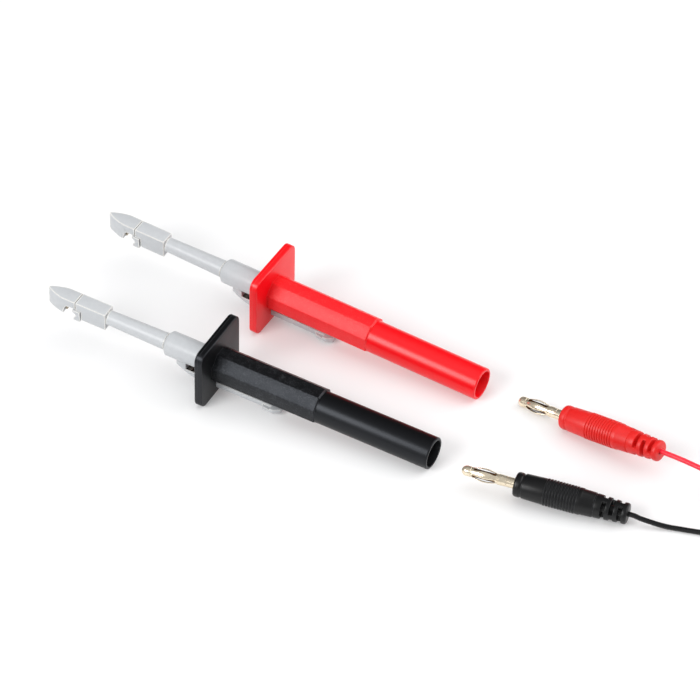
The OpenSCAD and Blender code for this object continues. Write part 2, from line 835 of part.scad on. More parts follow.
// A free stretch from a plug to the start of its coil
function lead_path(plug, route, coil) =
    concat(
        [plug_end(plug), plug_end(plug) + cord_d * plug_way(plug)],
        route,
        [coil_point(coil, 0) - cord_d * coil_way(coil, 0), coil_point(coil, 0)]
    );

// A free stretch from the end of a coil to its far plug
function tail_path(coil, route, plug) =
    let (last = coil_turns(coil) - 0.0001)
    concat(
        [coil_point(coil, last), coil_point(coil, last) + cord_d * coil_way(coil, last)],
        route,
        [plug_end(plug) + cord_d * plug_way(plug), plug_end(plug)]
    );

function path_length(path) =
    let (steps = [for (i = [1 : len(path) - 1]) norm(path[i] - path[i - 1])])
    steps * [for (s = steps) 1];

module cord(path, paint) {
    color(paint)
        tube(path, cord_r, 8);
}

module cord_coil(coil, paint) {
    path = coil_path(coil);
    echo(str("coil: least gap to itself ", least_gap(path, cord_r, coil_rings / 2), " mm"));
    color(paint)
        tube(path, cord_r, coil_sides);
}

module coil_tie(coil, angle, paint) {
    half = coil_pitch * coil_layer_turns(coil) / 2;
    inside = sqrt(pow(coil_r - half - cord_r, 2) - pow(tie_w / 2, 2)) - 0.3;
    outside = coil_r + half + cord_r + 0.3;
    top = coil_lift + coil_pitch * (coil_layers - 1) + cord_r + 0.15;
    color(paint)
        translate([coil[0][0], coil[0][1], 0])
            rotate([0, 0, angle])
                difference() {
                    translate([inside - tie_t, -tie_w / 2, 0])
                        cube([outside - inside + 2 * tie_t, tie_w, top + tie_t]);
                    translate([inside, -tie_w / 2 - cut, tie_t])
                        cube([outside - inside, tie_w + 2 * cut, top - tie_t]);
                }
}

echo(str("spring: least gap to itself ",
    (x_spring_rear - x_spring_front) / spring_turns - spring_wire, " mm"));
for (lead = [
    ["black", black_plug, BLACK_ROUTE, black_coil, BLACK_TAIL, black_far],
    ["red", red_plug, RED_ROUTE, red_coil, RED_TAIL, red_far]
])
    echo(str(lead[0], " lead: length ",
        path_length(lead_path(lead[1], lead[2], lead[3])) + path_length(coil_path(lead[3]))
        + path_length(tail_path(lead[3], lead[4], lead[5])), " mm"));

// ---- Drawing ----

on_black_probe() handle(BLACK);  // black_handle
on_black_probe() slide_sleeve();  // black_slide_sleeve
on_black_probe() nose_barrel();  // black_nose_barrel
on_black_probe() clamp_jaw();  // black_clamp_jaw
on_black_probe() hook_beak();  // black_hook_beak
on_black_probe() hook_contact();  // black_hook_contact
on_black_probe() contact_rod();  // black_contact_rod
on_black_probe() return_spring();  // black_return_spring
on_black_probe() spring_washer();  // black_spring_washer
on_black_probe() socket_contact();  // black_socket_contact
on_black_probe() lock_nut();  // black_lock_nut

on_red_probe() handle(RED);  // red_handle
on_red_probe() slide_sleeve();  // red_slide_sleeve
on_red_probe() nose_barrel();  // red_nose_barrel
on_red_probe() clamp_jaw();  // red_clamp_jaw
on_red_probe() hook_beak();  // red_hook_beak
on_red_probe() hook_contact();  // red_hook_contact
on_red_probe() contact_rod();  // red_contact_rod
on_red_probe() return_spring();  // red_return_spring
on_red_probe() spring_washer();  // red_spring_washer
on_red_probe() socket_contact();  // red_socket_contact
on_red_probe() lock_nut();  // red_lock_nut

plug_place(black_plug) plug_pin();  // black_plug_pin
plug_place(black_plug) lantern_cage();  // black_lantern_cage
plug_place(black_plug) plug_boot(BLACK);  // black_plug_boot
plug_place(black_plug) plug_wire(BLACK);  // black_plug_wire
plug_place(red_plug) plug_pin();  // red_plug_pin
plug_place(red_plug) lantern_cage();  // red_lantern_cage
plug_place(red_plug) plug_boot(RED);  // red_plug_boot
plug_place(red_plug) plug_wire(RED);  // red_plug_wire

cord(lead_path(black_plug, BLACK_ROUTE, black_coil), BLACK);  // black_cord
cord_coil(black_coil, BLACK);  // black_cord_coil
coil_tie(black_coil, -90, BLACK);  // black_coil_tie
cord(tail_path(black_coil, BLACK_TAIL, black_far), BLACK);  // black_cord_tail
cord(lead_path(red_plug, RED_ROUTE, red_coil), RED);  // red_cord
cord_coil(red_coil, RED);  // red_cord_coil
coil_tie(red_coil, 90, BLACK);  // red_coil_tie
cord(tail_path(red_coil, RED_TAIL, red_far), RED);  // red_cord_tail

plug_place(black_far) plug_pin();  // black_far_pin
plug_place(black_far) lantern_cage();  // black_far_cage
plug_place(black_far) plug_boot(BLACK);  // black_far_boot
plug_place(black_far) plug_wire(BLACK);  // black_far_wire
plug_place(red_far) plug_pin();  // red_far_pin
plug_place(red_far) lantern_cage();  // red_far_cage
plug_place(red_far) plug_boot(RED);  // red_far_boot
plug_place(red_far) plug_wire(RED);  // red_far_wire
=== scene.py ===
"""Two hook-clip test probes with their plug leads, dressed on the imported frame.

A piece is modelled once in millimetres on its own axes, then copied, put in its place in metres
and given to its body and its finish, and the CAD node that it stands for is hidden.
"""

import logging
import math
from collections.abc import Callable, Sequence
from dataclasses import dataclass, field
from enum import Enum

import bmesh
import bpy
from mathutils import Matrix, Vector


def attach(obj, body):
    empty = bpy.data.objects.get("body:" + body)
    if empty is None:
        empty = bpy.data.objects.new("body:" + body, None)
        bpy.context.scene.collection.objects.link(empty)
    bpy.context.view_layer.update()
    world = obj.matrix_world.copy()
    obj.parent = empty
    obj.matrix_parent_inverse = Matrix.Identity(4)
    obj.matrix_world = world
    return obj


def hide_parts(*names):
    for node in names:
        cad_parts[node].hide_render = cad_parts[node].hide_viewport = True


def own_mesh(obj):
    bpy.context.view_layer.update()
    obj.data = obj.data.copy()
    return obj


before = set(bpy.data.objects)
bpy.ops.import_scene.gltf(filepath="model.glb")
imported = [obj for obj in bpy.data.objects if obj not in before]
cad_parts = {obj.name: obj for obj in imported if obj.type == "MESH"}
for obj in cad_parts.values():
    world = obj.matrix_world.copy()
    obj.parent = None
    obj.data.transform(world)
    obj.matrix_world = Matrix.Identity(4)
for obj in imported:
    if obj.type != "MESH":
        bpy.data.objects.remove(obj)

LOG = logging.getLogger("probe_set")
MM = 0.001
PER_METRE = 1000.0
OWN_PLACE = "own_place"
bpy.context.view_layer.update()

Point = tuple[float, float, float]
Rgb = tuple[float, float, float]
Outline = Sequence[tuple[float, float]]
EdgeTest = Callable[[Vector, Vector, float], bool]
FaceTest = Callable[[Vector, Vector], bool]


class Colour(Enum):
    """The two colours of a probe and its lead."""

    BLACK = "black"
    RED = "red"


class Cut(Enum):
    """How one solid meets another."""

    ADD = "UNION"
    TAKE = "DIFFERENCE"
    SHARE = "INTERSECT"


class Along(Enum):
    """The axis that an outline is pulled along."""

    X = (1.0, 0.0, 0.0)
    Y = (0.0, 1.0, 0.0)
    Z = (0.0, 0.0, 1.0)


# ---- Bench: the modelling steps that every piece uses ----

# The way along which a mesh is put in order. It lies off every plane that a piece is alike about.
READING_WAY = Vector((1.0, 0.6180339, 0.4142135))


def lay_down_tools() -> None:
    """Leaves edit mode and selects nothing."""
    if bpy.context.mode != "OBJECT":
        bpy.ops.object.mode_set(mode="OBJECT")
    bpy.ops.object.select_all(action="DESELECT")


def take_up(piece: bpy.types.Object) -> None:
    """Makes one piece the only selected one, and the active one.

    Args:
        piece: The piece.
    """
    lay_down_tools()
    piece.select_set(True)
    bpy.context.view_layer.objects.active = piece


def open_mesh(piece: bpy.types.Object, kind: str = "EDGE") -> None:
    """Opens a piece's mesh for shaping, with nothing of it selected.

    Args:
        piece: The piece.
        kind: What is selected in it: VERT, EDGE or FACE.
    """
    take_up(piece)
    bpy.ops.object.mode_set(mode="EDIT")
    bpy.ops.mesh.select_mode(type=kind)
    bpy.ops.mesh.select_all(action="DESELECT")


def apply_place() -> None:
    """Takes the active piece's place, turn and scale into its mesh."""
    bpy.ops.object.transform_apply(location=True, rotation=True, scale=True)


def put_in_order() -> None:
    """Orders the open mesh by place, so that each run builds and cuts it alike."""
    data = bpy.context.object.data
    mesh = bmesh.from_edit_mesh(data)
    mesh.verts.sort(key=lambda vert: vert.co.dot(READING_WAY))
    mesh.edges.sort(key=lambda edge: sum(v.co.dot(READING_WAY) for v in edge.verts))
    mesh.faces.sort(key=lambda face: face.calc_center_median().dot(READING_WAY))
    bmesh.update_edit_mesh(data)


def close_mesh() -> None:
    """Merges doubled points, turns all faces outwards and leaves edit mode."""
    bpy.ops.mesh.select_all(action="SELECT")
    bpy.ops.mesh.remove_doubles(threshold=1e-4)
    bpy.ops.mesh.normals_make_consistent(inside=False)
    put_in_order()
    bpy.ops.object.mode_set(mode="OBJECT")


def pick_edges(piece: bpy.types.Object, wanted: EdgeTest) -> int:
    """Selects edges of the open mesh by their place.

    Args:
        piece: The piece whose mesh is open.
        wanted: Takes an edge's middle, its unit direction and the degrees between its faces.

    Returns:
        How many edges it selected.
    """
    mesh = bmesh.from_edit_mesh(piece.data)
    mesh.normal_update()
    count = 0
    for edge in mesh.edges:
        a, b = (v.co for v in edge.verts)
        angle = math.degrees(edge.calc_face_angle(math.pi))
        if wanted((a + b) / 2, (b - a).normalized(), angle):
            edge.select_set(True)
            count += 1
    bmesh.update_edit_mesh(piece.data)
    return count


def pick_faces(piece: bpy.types.Object, wanted: FaceTest) -> None:
    """Selects faces of the open mesh by their place.

    Args:
        piece: The piece whose mesh is open.
        wanted: Takes a face's middle and its normal.
    """
    mesh = bmesh.from_edit_mesh(piece.data)
    mesh.normal_update()
    for face in mesh.faces:
        if wanted(face.calc_center_median(), face.normal):
            face.select_set(True)
    bmesh.update_edit_mesh(piece.data)


def lengthwise(at: Vector, way: Vector, turn: float) -> bool:
    """Whether an edge runs along the X axis."""
    return abs(way.x) > 0.9


def crosswise(at: Vector, way: Vector, turn: float) -> bool:
    """Whether an edge runs along the Y axis."""
    return abs(way.y) > 0.9


def upright(at: Vector, way: Vector, turn: float) -> bool:
    """Whether an edge runs along the Z axis."""
    return abs(way.z) > 0.9


def sharper(angle: float) -> EdgeTest:
    """The test for edges that turn by more than an angle in degrees."""
    return lambda at, way, turn: turn > angle


def inward(at: Vector, facing: Vector) -> bool:
    """Whether a face looks at the X axis or along the wall round it."""
    return facing.y * at.y + facing.z * at.z < 0.4 * math.hypot(at.y, at.z)


def round_edges(
    piece: bpy.types.Object,
    width: float,
    steps: int,
    wanted: EdgeTest,
    measure: str = "OFFSET",
) -> None:
    """Rounds or chamfers the wanted edges.

    Args:
        piece: The piece to work on.
        width: The size of the rounding in millimetres.
        steps: The number of faces across it; 1 is a chamfer.
        wanted: The test that pick_edges takes.
        measure: What width measures, as the bevel tool names it.
    """
    open_mesh(piece)
    if pick_edges(piece, wanted):
        bpy.ops.mesh.bevel(
            offset=width, offset_type=measure, segments=steps, clamp_overlap=False
        )
    close_mesh()


def block(name: str, low: Point, high: Point) -> bpy.types.Object:
    """A box between two corners.

    Args:
        name: The name of the new piece.
        low: Its lowest corner.
        high: Its highest corner.

    Returns:
        The box.
    """
    lay_down_tools()
    middle, size = (Vector(low) + Vector(high)) / 2, Vector(high) - Vector(low)
    bpy.ops.mesh.primitive_cube_add(size=1.0, location=middle, scale=size)
    piece = bpy.context.object
    piece.name = name
    apply_place()
    return piece


def quarter(step: int) -> list[tuple[float, float]]:
    """Sine and cosine of the angles of a quarter turn, a number of degrees apart."""
    angles = [math.radians(a) for a in range(0, 91, step)]
    return [(math.sin(a), math.cos(a)) for a in angles]


def stepped(x: float, r: float, steps: Outline) -> list[tuple[float, float]]:
    """Outline points from their steps along and outwards from a place and a radius."""
    return [(x + along, r + out) for along, out in steps]


def drawn(name: str, points: Sequence[Point]) -> bpy.types.Object:
    """Draws a line from point to point and leaves its mesh open.

    Args:
        name: The name of the new piece.
        points: The corners of the line, in order.

    Returns:
        The piece, in edit mode with all selected.
    """
    lay_down_tools()
    bpy.ops.mesh.primitive_plane_add(size=1.0)
    piece = bpy.context.object
    piece.name = name
    bpy.ops.object.mode_set(mode="EDIT")
    bpy.ops.mesh.select_mode(type="VERT")
    bpy.ops.mesh.select_all(action="SELECT")
    bpy.ops.mesh.merge(type="CENTER")
    bpy.ops.transform.translate(value=points[0])
    for before, after in zip(points, points[1:]):
        step = Vector(after) - Vector(before)
        bpy.ops.mesh.extrude_vertices_move(TRANSFORM_OT_translate={"value": step})
    bpy.ops.mesh.select_all(action="SELECT")
    return piece


def pulled(
    name: str, outline: Outline, along: Along, start: float, end: float
) -> bpy.types.Object:
    """A solid made by pulling a flat outline along an axis.

    Args:
        name: The name of the new piece.
        outline: Its corners: (x, z) where it is pulled along Y, (x, y) along Z, (y, z) along X.
        along: The axis.
        start: Where it starts on the axis.
        end: Where it ends.

    Returns:
        The closed solid.
    """
    places = {
        Along.X: [(start, a, b) for a, b in outline],
        Along.Y: [(a, start, b) for a, b in outline],
        Along.Z: [(a, b, start) for a, b in outline],
    }
    piece = drawn(name, places[along])
    bpy.ops.mesh.edge_face_add()
    way = Vector(along.value) * (end - start)
    bpy.ops.mesh.extrude_region_move(TRANSFORM_OT_translate={"value": way})
    close_mesh()
    return piece


def turned(
    name: str, outline: Outline, steps: int = 72, ring: bool = False
) -> bpy.types.Object:
    """A solid turned about the X axis.

    Args:
        name: The name of the new piece.
        outline: (x, radius) from end to end, which starts and ends on the axis, unless a ring.
        steps: The number of faces round it.
        ring: Whether the outline closes on itself off the axis.

    Returns:
        The closed solid.
    """
    corners = [(x, 0.0, r) for x, r in outline]
    if ring:
        corners.append(corners[0])
    piece = drawn(name, corners)
    bpy.ops.mesh.remove_doubles(threshold=1e-5)
    bpy.ops.mesh.spin(steps=steps, angle=math.tau, center=(0, 0, 0), axis=(1, 0, 0))
    close_mesh()
    return piece


def bar(
    name: str, start: float, end: float, radius: float, height: float = 0.0, sides: int = 48
) -> bpy.types.Object:
    """A round bar along X.

    Args:
        name: The name of the new piece.
        start: Where it starts.
        end: Where it ends.
        radius: Its radius.
        height: The height of its axis.
        sides: The number of faces round it.

    Returns:
        The bar.
    """
    lay_down_tools()
    bpy.ops.mesh.primitive_cylinder_add(
        vertices=sides, radius=radius, depth=end - start,
        location=((start + end) / 2, 0, height), rotation=(0, math.pi / 2, 0),
    )
    piece = bpy.context.object
    piece.name = name
    apply_place()
    return piece


def meet(piece: bpy.types.Object, other: bpy.types.Object, how: Cut) -> bpy.types.Object:
    """Adds, takes or shares another solid, which is used up.

    Args:
        piece: The solid that stays.
        other: The solid that is used up.
        how: How they meet.

    Returns:
        The solid that stays.
    """
    take_up(piece)
    tool = piece.modifiers.new(how.name, "BOOLEAN")
    tool.operation, tool.object, tool.solver = how.value, other, "EXACT"
    bpy.ops.object.modifier_apply(modifier=tool.name)
    bpy.data.objects.remove(other)
    return piece


def rolled(piece: bpy.types.Object, angle: float) -> bpy.types.Object:
    """Turns a piece about the X axis.

    Args:
        piece: The piece.
        angle: The turn in degrees.

    Returns:
        The same piece.
    """
    take_up(piece)
    piece.rotation_euler = (math.radians(angle), 0, 0)
    apply_place()
    return piece


def smoothed(piece: bpy.types.Object, angle: float = 32.0) -> bpy.types.Object:
    """Shades a piece smooth, apart from its sharp edges.

    Args:
        piece: The piece.
        angle: The least turn of a sharp edge in degrees.

    Returns:
        The same piece.
    """
    take_up(piece)
    bpy.ops.object.shade_smooth_by_angle(angle=math.radians(angle))
    return piece


def remembered(piece: bpy.types.Object) -> bpy.types.Object:
    """Keeps each point's own place in millimetres, for finishes that follow a piece's axis.

    Args:
        piece: The piece, before it is put in its place.

    Returns:
        The same piece.
    """
    places = piece.data.attributes.new(OWN_PLACE, "FLOAT_VECTOR", "POINT")
    flat = [value for vertex in piece.data.vertices for value in vertex.co]
    places.data.foreach_set("vector", flat)
    return piece


def zoned(piece: bpy.types.Object, wanted: FaceTest) -> bpy.types.Object:
    """Splits a piece into two zones, which take a material each.

    Args:
        piece: The piece.
        wanted: Takes a face's middle and normal, and says whether it lies in the second zone.

    Returns:
        The same piece.
    """
    for zone in ("first_zone", "second_zone"):
        piece.data.materials.append(bpy.data.materials.new(zone))
    open_mesh(piece, "FACE")
    pick_faces(piece, wanted)
    piece.active_material_index = 1
    bpy.ops.object.material_slot_assign()
    bpy.ops.object.mode_set(mode="OBJECT")
    return piece


@dataclass(frozen=True)
class Placement:
    """Where a piece's own millimetre axes lie in the set.

    Its angles are in degrees: a turn about Z, then a dip of its +X end, then a roll about X.
    """

    at: Point
    turn: float = 0.0
    dip: float = 0.0
    roll: float = 0.0

    def matrix(self) -> Matrix:
        """The step from own millimetres to the set's metres.

        Returns:
            The matrix.
        """
        place = Matrix.Scale(MM, 4) @ Matrix.Translation(self.at)
        for angle, axis in ((self.turn, "Z"), (self.dip, "Y"), (self.roll, "X")):
            place = place @ Matrix.Rotation(math.radians(angle), 4, axis)
        return place

    def point(self, own: Point) -> Vector:
        """An own point in the set's metres."""
        return self.matrix() @ Vector(own)

    def way(self) -> Vector:
        """The direction of the own +X axis in the set."""
        return (self.matrix().to_3x3() @ Vector((1, 0, 0))).normalized()


def rest_height(x: float, r: float, dip: float) -> float:
    """The height of a piece's origin where the low point (x, -r) rests on the floor.

    Args:
        x: The low point's place along the piece.
        r: How far it is from the axis.
        dip: The dip of the piece's +X end in radians.

    Returns:
        The height in the units of x and r.
    """
    return r * math.cos(dip) + x * math.sin(dip)


def put(
    pattern: bpy.types.Object,
    name: str,
    place: Placement,
    body: str,
    node: str,
    finish: Sequence[bpy.types.Material],
) -> bpy.types.Object:
    """Copies a pattern to its place, gives it its body and finish, and hides the CAD node that it
    stands for.

    Args:
        pattern: The piece as modelled, in its own millimetres.
        name: The new piece's name.
        place: Where it goes.
        body: The body that it moves with.
        node: The CAD node that it stands for.
        finish: One material, or one for each of the pattern's zones.

    Returns:
        The piece, in place.
    """
    take_up(pattern)
    bpy.ops.object.duplicate(linked=False)
    piece = bpy.context.object
    piece.name = name
    piece.data.name = name
    piece.matrix_world = place.matrix()
    apply_place()
    zones = [face.material_index for face in piece.data.polygons]
    piece.data.materials.clear()
    for material in finish:
        piece.data.materials.append(material)
    piece.data.polygons.foreach_set("material_index", zones)
    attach(piece, body)
    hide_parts(node)
    LOG.info("%s: %d faces, stands for %s", name, len(piece.data.polygons), node)
    return piece


def bare(node: str, material: bpy.types.Material) -> bpy.types.Object:
    """Gives a CAD node that stays its finish.

    Args:
        node: The node's name.
        material: Its finish.

    Returns:
        The node.
    """
    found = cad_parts[node]
    found.data.materials.clear()
    found.data.materials.append(material)
    for face in found.data.polygons:
        face.material_index = 0
    return found


# ---- Finishes ----


class Sheet:
    """A node tree while it is laid out."""

    def __init__(self, tree: bpy.types.NodeTree) -> None:
        """Starts on an empty tree."""
        self.tree = tree
        self.count = 0

    def node(self, kind: str, **values: object) -> bpy.types.Node:
        """Adds a node.

        Args:
            kind: The node's type without its Shader prefix.
            values: Settings by name, or inputs by name with _ for a space.

        Returns:
            The node.
        """
        made = self.tree.nodes.new(kind if kind.startswith("NodeGroup") else "ShaderNode" + kind)
        made.location = (self.count * 190, -(self.count % 4) * 160)
        self.count += 1
        for name, value in values.items():
            if name in made.bl_rna.properties:
                setattr(made, name, value)
            else:
                made.inputs[name.replace("_", " ")].default_value = value
        return made

    def join(self, source: bpy.types.NodeSocket, target: bpy.types.NodeSocket) -> None:
        """Links an output to an input."""
        self.tree.links.new(source, target)

    def feed(self, value: object, target: bpy.types.NodeSocket) -> None:
        """Links an input where the value is a socket, and sets it otherwise.

        Args:
            value: An output socket, a number or a colour.
            target: The input.
        """
        if isinstance(value, bpy.types.NodeSocket):
            self.join(value, target)
        else:
            target.default_value = value

    def noise(
        self, place: bpy.types.NodeSocket, scale: object, **values: float
    ) -> bpy.types.NodeSocket:
        """A noise texture.

        Args:
            place: The place that it reads.
            scale: Its scale, a socket or a number.
            values: Its other inputs.

        Returns:
            Its value.
        """
        made = self.node("TexNoise", **values)
        self.join(place, made.inputs["Vector"])
        self.feed(scale, made.inputs["Scale"])
        return made.outputs[0]

    def ranged(self, value: bpy.types.NodeSocket, **ends: float) -> bpy.types.NodeSocket:
        """A Map Range node.

        Args:
            value: The value that it stretches.
            ends: From_Min, From_Max, To_Min and To_Max, where they aren't 0 and 1.

        Returns:
            The stretched value.
        """
        made = self.node("MapRange", **ends)
        self.join(value, made.inputs["Value"])
        return made.outputs[0]

    def sum(self, kind: str, first: object, second: object) -> bpy.types.NodeSocket:
        """A Math node on two sockets or numbers.

        Args:
            kind: The operation.
            first: A socket or a number.
            second: A socket or a number.

        Returns:
            Its output.
        """
        made = self.node("Math", operation=kind)
        self.feed(first, made.inputs[0])
        self.feed(second, made.inputs[1])
        return made.outputs[0]


def new_group(
    name: str, inputs: dict[str, object], outputs: Sequence[str]
) -> tuple[Sheet, bpy.types.Node, bpy.types.Node]:
    """An empty effect that several finishes share.

    Args:
        name: What the effect is called.
        inputs: Each input's name and its start value, or None for a place.
        outputs: The names of its number outputs.

    Returns:
        The group's sheet, its Group Input and its Group Output.
    """
    group = bpy.data.node_groups.new(name, "ShaderNodeTree")
    for label, value in inputs.items():
        kind = "NodeSocketVector" if value is None else "NodeSocketFloat"
        socket = group.interface.new_socket(label, in_out="INPUT", socket_type=kind)
        if value is not None:
            socket.default_value = value
    for label in outputs:
        group.interface.new_socket(label, in_out="OUTPUT", socket_type="NodeSocketFloat")
    sheet = Sheet(group)
    return sheet, sheet.node("NodeGroupInput"), sheet.node("NodeGroupOutput")


def grain_group() -> bpy.types.NodeTree:
    """Moulded grain: a fine height and a slow mottle, sized in millimetres.

    Returns:
        The group.
    """
    sheet, start, end = new_group(
        "moulded grain", {"Place": None, "Grain": 0.12, "Mottle Size": 1.6}, ["Height", "Mottle"]
    )
    place = start.outputs["Place"]
    heights = []
    for share, detail in ((1.0, 2.0), (5.0, 1.0)):
        size = sheet.sum("MULTIPLY", start.outputs["Grain"], share)
        scale = sheet.sum("DIVIDE", PER_METRE, size)
        heights.append(sheet.noise(place, scale, Detail=detail, Roughness=0.6))
    fine = sheet.sum("MULTIPLY", heights[0], 0.7)
    coarse = sheet.sum("MULTIPLY", heights[1], 0.3)
    sheet.join(sheet.sum("ADD", fine, coarse), end.inputs["Height"])
    scale = sheet.sum("DIVIDE", PER_METRE, start.outputs["Mottle Size"])
    mottle = sheet.noise(place, scale, Detail=3.0, Roughness=0.55)
    sheet.join(sheet.ranged(mottle, From_Min=0.3, From_Max=0.7), end.inputs["Mottle"])
    return sheet.tree


def edge_highlight_group() -> bpy.types.NodeTree:
    """Painted edge highlight: a mask where the surface turns sharply within a radius, along which a
    pale colour stands in for the light that edges catch.

    Returns:
        The group.
    """
    sheet, start, end = new_group("edge paling", {"Radius": 0.0003, "Gain": 6.0}, ["Mask"])
    rounded = sheet.node("Bevel", samples=4)
    sheet.join(start.outputs["Radius"], rounded.inputs["Radius"])
    compare = sheet.node("VectorMath", operation="DOT_PRODUCT")
    sheet.join(rounded.outputs[0], compare.inputs[0])
    sheet.join(sheet.node("NewGeometry").outputs["Normal"], compare.inputs[1])
    turn = sheet.sum("SUBTRACT", 1.0, compare.outputs["Value"])
    limit = sheet.node("Clamp")
    sheet.join(sheet.sum("MULTIPLY", turn, start.outputs["Gain"]), limit.inputs["Value"])
    sheet.join(limit.outputs[0], end.inputs["Mask"])
    return sheet.tree


def handling_group() -> bpy.types.NodeTree:
    """Handling marks: slow smudges with a few fine rubbed streaks.

    Returns:
        The group.
    """
    sheet, start, end = new_group("handling marks", {"Place": None, "Size": 9.0}, ["Rubbed"])
    place = start.outputs["Place"]
    scale = sheet.sum("DIVIDE", PER_METRE, start.outputs["Size"])
    slow = sheet.noise(place, scale, Detail=2.0, Roughness=0.5, Distortion=0.6)
    stretched = sheet.node("Mapping", Scale=(0.25, 1.0, 1.0))
    sheet.join(place, stretched.inputs["Vector"])
    streaks = sheet.noise(stretched.outputs[0], 1400.0, Detail=4.0, Roughness=0.7)
    lines = sheet.ranged(streaks, From_Min=0.55, From_Max=0.75)
    both = sheet.sum(
        "ADD", sheet.sum("MULTIPLY", slow, 0.75), sheet.sum("MULTIPLY", lines, 0.25)
    )
    sheet.join(both, end.inputs["Rubbed"])
    return sheet.tree


def turning_group() -> bpy.types.NodeTree:
    """Turned lines: fine uneven rings along a piece's own X axis.

    Returns:
        The group.
    """
    sheet, start, end = new_group("turned lines", {"Own Place": None, "Pitch": 0.12}, ["Height"])
    axis, line = sheet.node("SeparateXYZ"), sheet.node("CombineXYZ")
    sheet.join(start.outputs["Own Place"], axis.inputs[0])
    sheet.join(axis.outputs["X"], line.inputs["X"])
    scale = sheet.sum("DIVIDE", 1.0, start.outputs["Pitch"])
    rings = sheet.noise(line.outputs[0], scale, Detail=3.0, Roughness=0.6)
    sheet.join(rings, end.inputs["Height"])
    return sheet.tree


@dataclass
class Effects:
    """The shared effects, built once."""

    grain: bpy.types.NodeTree = field(default_factory=grain_group)
    # The painted edge highlight, which pales sharp edges as if they caught the light.
    edges: bpy.types.NodeTree = field(default_factory=edge_highlight_group)
    handling: bpy.types.NodeTree = field(default_factory=handling_group)
    turning: bpy.types.NodeTree = field(default_factory=turning_group)


def started(name: str) -> tuple[bpy.types.Material, Sheet, bpy.types.Node]:
    """Starts a material.

    Args:
        name: Its name.

    Returns:
        The material, its sheet and its shader.
    """
    material = bpy.data.materials.new(name)
    material.use_nodes = True
    return material, Sheet(material.node_tree), material.node_tree.nodes["Principled BSDF"]


def effect(
    sheet: Sheet,
    group: bpy.types.NodeTree,
    place: bpy.types.NodeSocket | None = None,
    **values: float,
) -> bpy.types.Node:
    """Places a shared effect in a material.

    Args:
        sheet: The material's sheet.
        group: The effect.
        place: What feeds its first input, if that is a place.
        values: Its other inputs, with _ for a space.

    Returns:
        The group node.
    """
    made = sheet.node("Group")
    made.node_tree = group
    for name, value in values.items():
        made.inputs[name.replace("_", " ")].default_value = value
    if place is not None:
        sheet.join(place, made.inputs[0])
    return made


def blended(
    sheet: Sheet, mask: bpy.types.NodeSocket, first: object, second: Rgb
) -> bpy.types.NodeSocket:
    """Mixes a colour towards another.

    Args:
        sheet: The material's sheet.
        mask: Where it is 1, the second colour shows.
        first: The first colour, or a socket with one.
        second: The second colour.

    Returns:
        The mixed colour.
    """
    mix = sheet.node("Mix", data_type="RGBA")
    sheet.join(mask, mix.inputs[0])
    sheet.feed(first if isinstance(first, bpy.types.NodeSocket) else (*first, 1), mix.inputs[6])
    sheet.feed((*second, 1), mix.inputs[7])
    return mix.outputs[2]


def surfaced(
    sheet: Sheet,
    shader: bpy.types.Node,
    rubbed: bpy.types.NodeSocket,
    rough: tuple[float, float],
    height: bpy.types.NodeSocket,
    relief: tuple[float, float],
) -> None:
    """Gives a shader its uneven gloss and its fine relief.

    Args:
        sheet: The material's sheet.
        shader: Its shader.
        rubbed: Where it is handled, from 0 to 1.
        rough: The roughness where it isn't handled and where it is.
        height: The relief, from 0 to 1.
        relief: The relief's strength, and its depth in millimetres.
    """
    gloss = sheet.ranged(rubbed, To_Min=rough[0], To_Max=rough[1])
    sheet.join(gloss, shader.inputs["Roughness"])
    bump = sheet.node("Bump", Strength=relief[0], Distance=relief[1] * MM)
    sheet.join(height, bump.inputs["Height"])
    sheet.join(bump.outputs[0], shader.inputs["Normal"])


@dataclass(frozen=True)
class MouldedPlastic:
    """A moulded plastic, from spark-grained to nearly polished.

    Its grain, depth and edge are in millimetres. Its pale colour is painted along sharp edges,
    within the edge radius, as a highlight, and it also colours the grain's flecks.
    """

    name: str
    colour: Rgb
    # The colour of the grain's flecks and of the painted edge highlight.
    pale: Rgb
    deep: Rgb
    roughness: float = 0.42
    spread: float = 0.08
    mottle: float = 0.5
    grain: float = 0.12
    depth: float = 0.02
    relief: float = 0.6
    # How much of the pale colour is painted on sharp edges as a highlight.
    paling: float = 0.5
    shine: float = 0.5
    flecks: float = 0.0
    fleck_band: tuple[float, float] = (0.5, 0.72)
    # The radius of the painted edge highlight.
    edge: float = 0.3
    tint: Rgb = (1.0, 1.0, 1.0)

    def material(self, effects: Effects) -> bpy.types.Material:
        """Builds the material.

        Args:
            effects: The shared effects.

        Returns:
            The material.
        """
        made, sheet, shader = started(self.name)
        place = sheet.node("TexCoord").outputs["Object"]
        grain = effect(sheet, effects.grain, place, Grain=self.grain)
        # Painted highlight: a mask of the sharp edges, where the pale colour stands in for light
        # caught by the edges.
        edges = effect(sheet, effects.edges, Radius=self.edge * MM)
        rubbed = effect(sheet, effects.handling, place)
        height = grain.outputs["Height"]
        mottle = sheet.sum("MULTIPLY", grain.outputs["Mottle"], self.mottle)
        body = blended(sheet, mottle, self.colour, self.deep)
        if self.flecks:
            low, top = self.fleck_band
            high = sheet.ranged(height, From_Min=low, From_Max=top)
            body = blended(sheet, sheet.sum("MULTIPLY", high, self.flecks), body, self.pale)
        # The painted edge highlight mixes the pale colour over the body colour.
        edge_glint = sheet.sum("MULTIPLY", edges.outputs["Mask"], self.paling)
        sheet.join(blended(sheet, edge_glint, body, self.pale), shader.inputs["Base Color"])
        rough = (self.roughness - self.spread, self.roughness + self.spread)
        relief = (self.relief, self.depth)
        surfaced(sheet, shader, rubbed.outputs["Rubbed"], rough, height, relief)
        shader.inputs["Specular IOR Level"].default_value = self.shine
        shader.inputs["Specular Tint"].default_value = (*self.tint, 1)
        return made


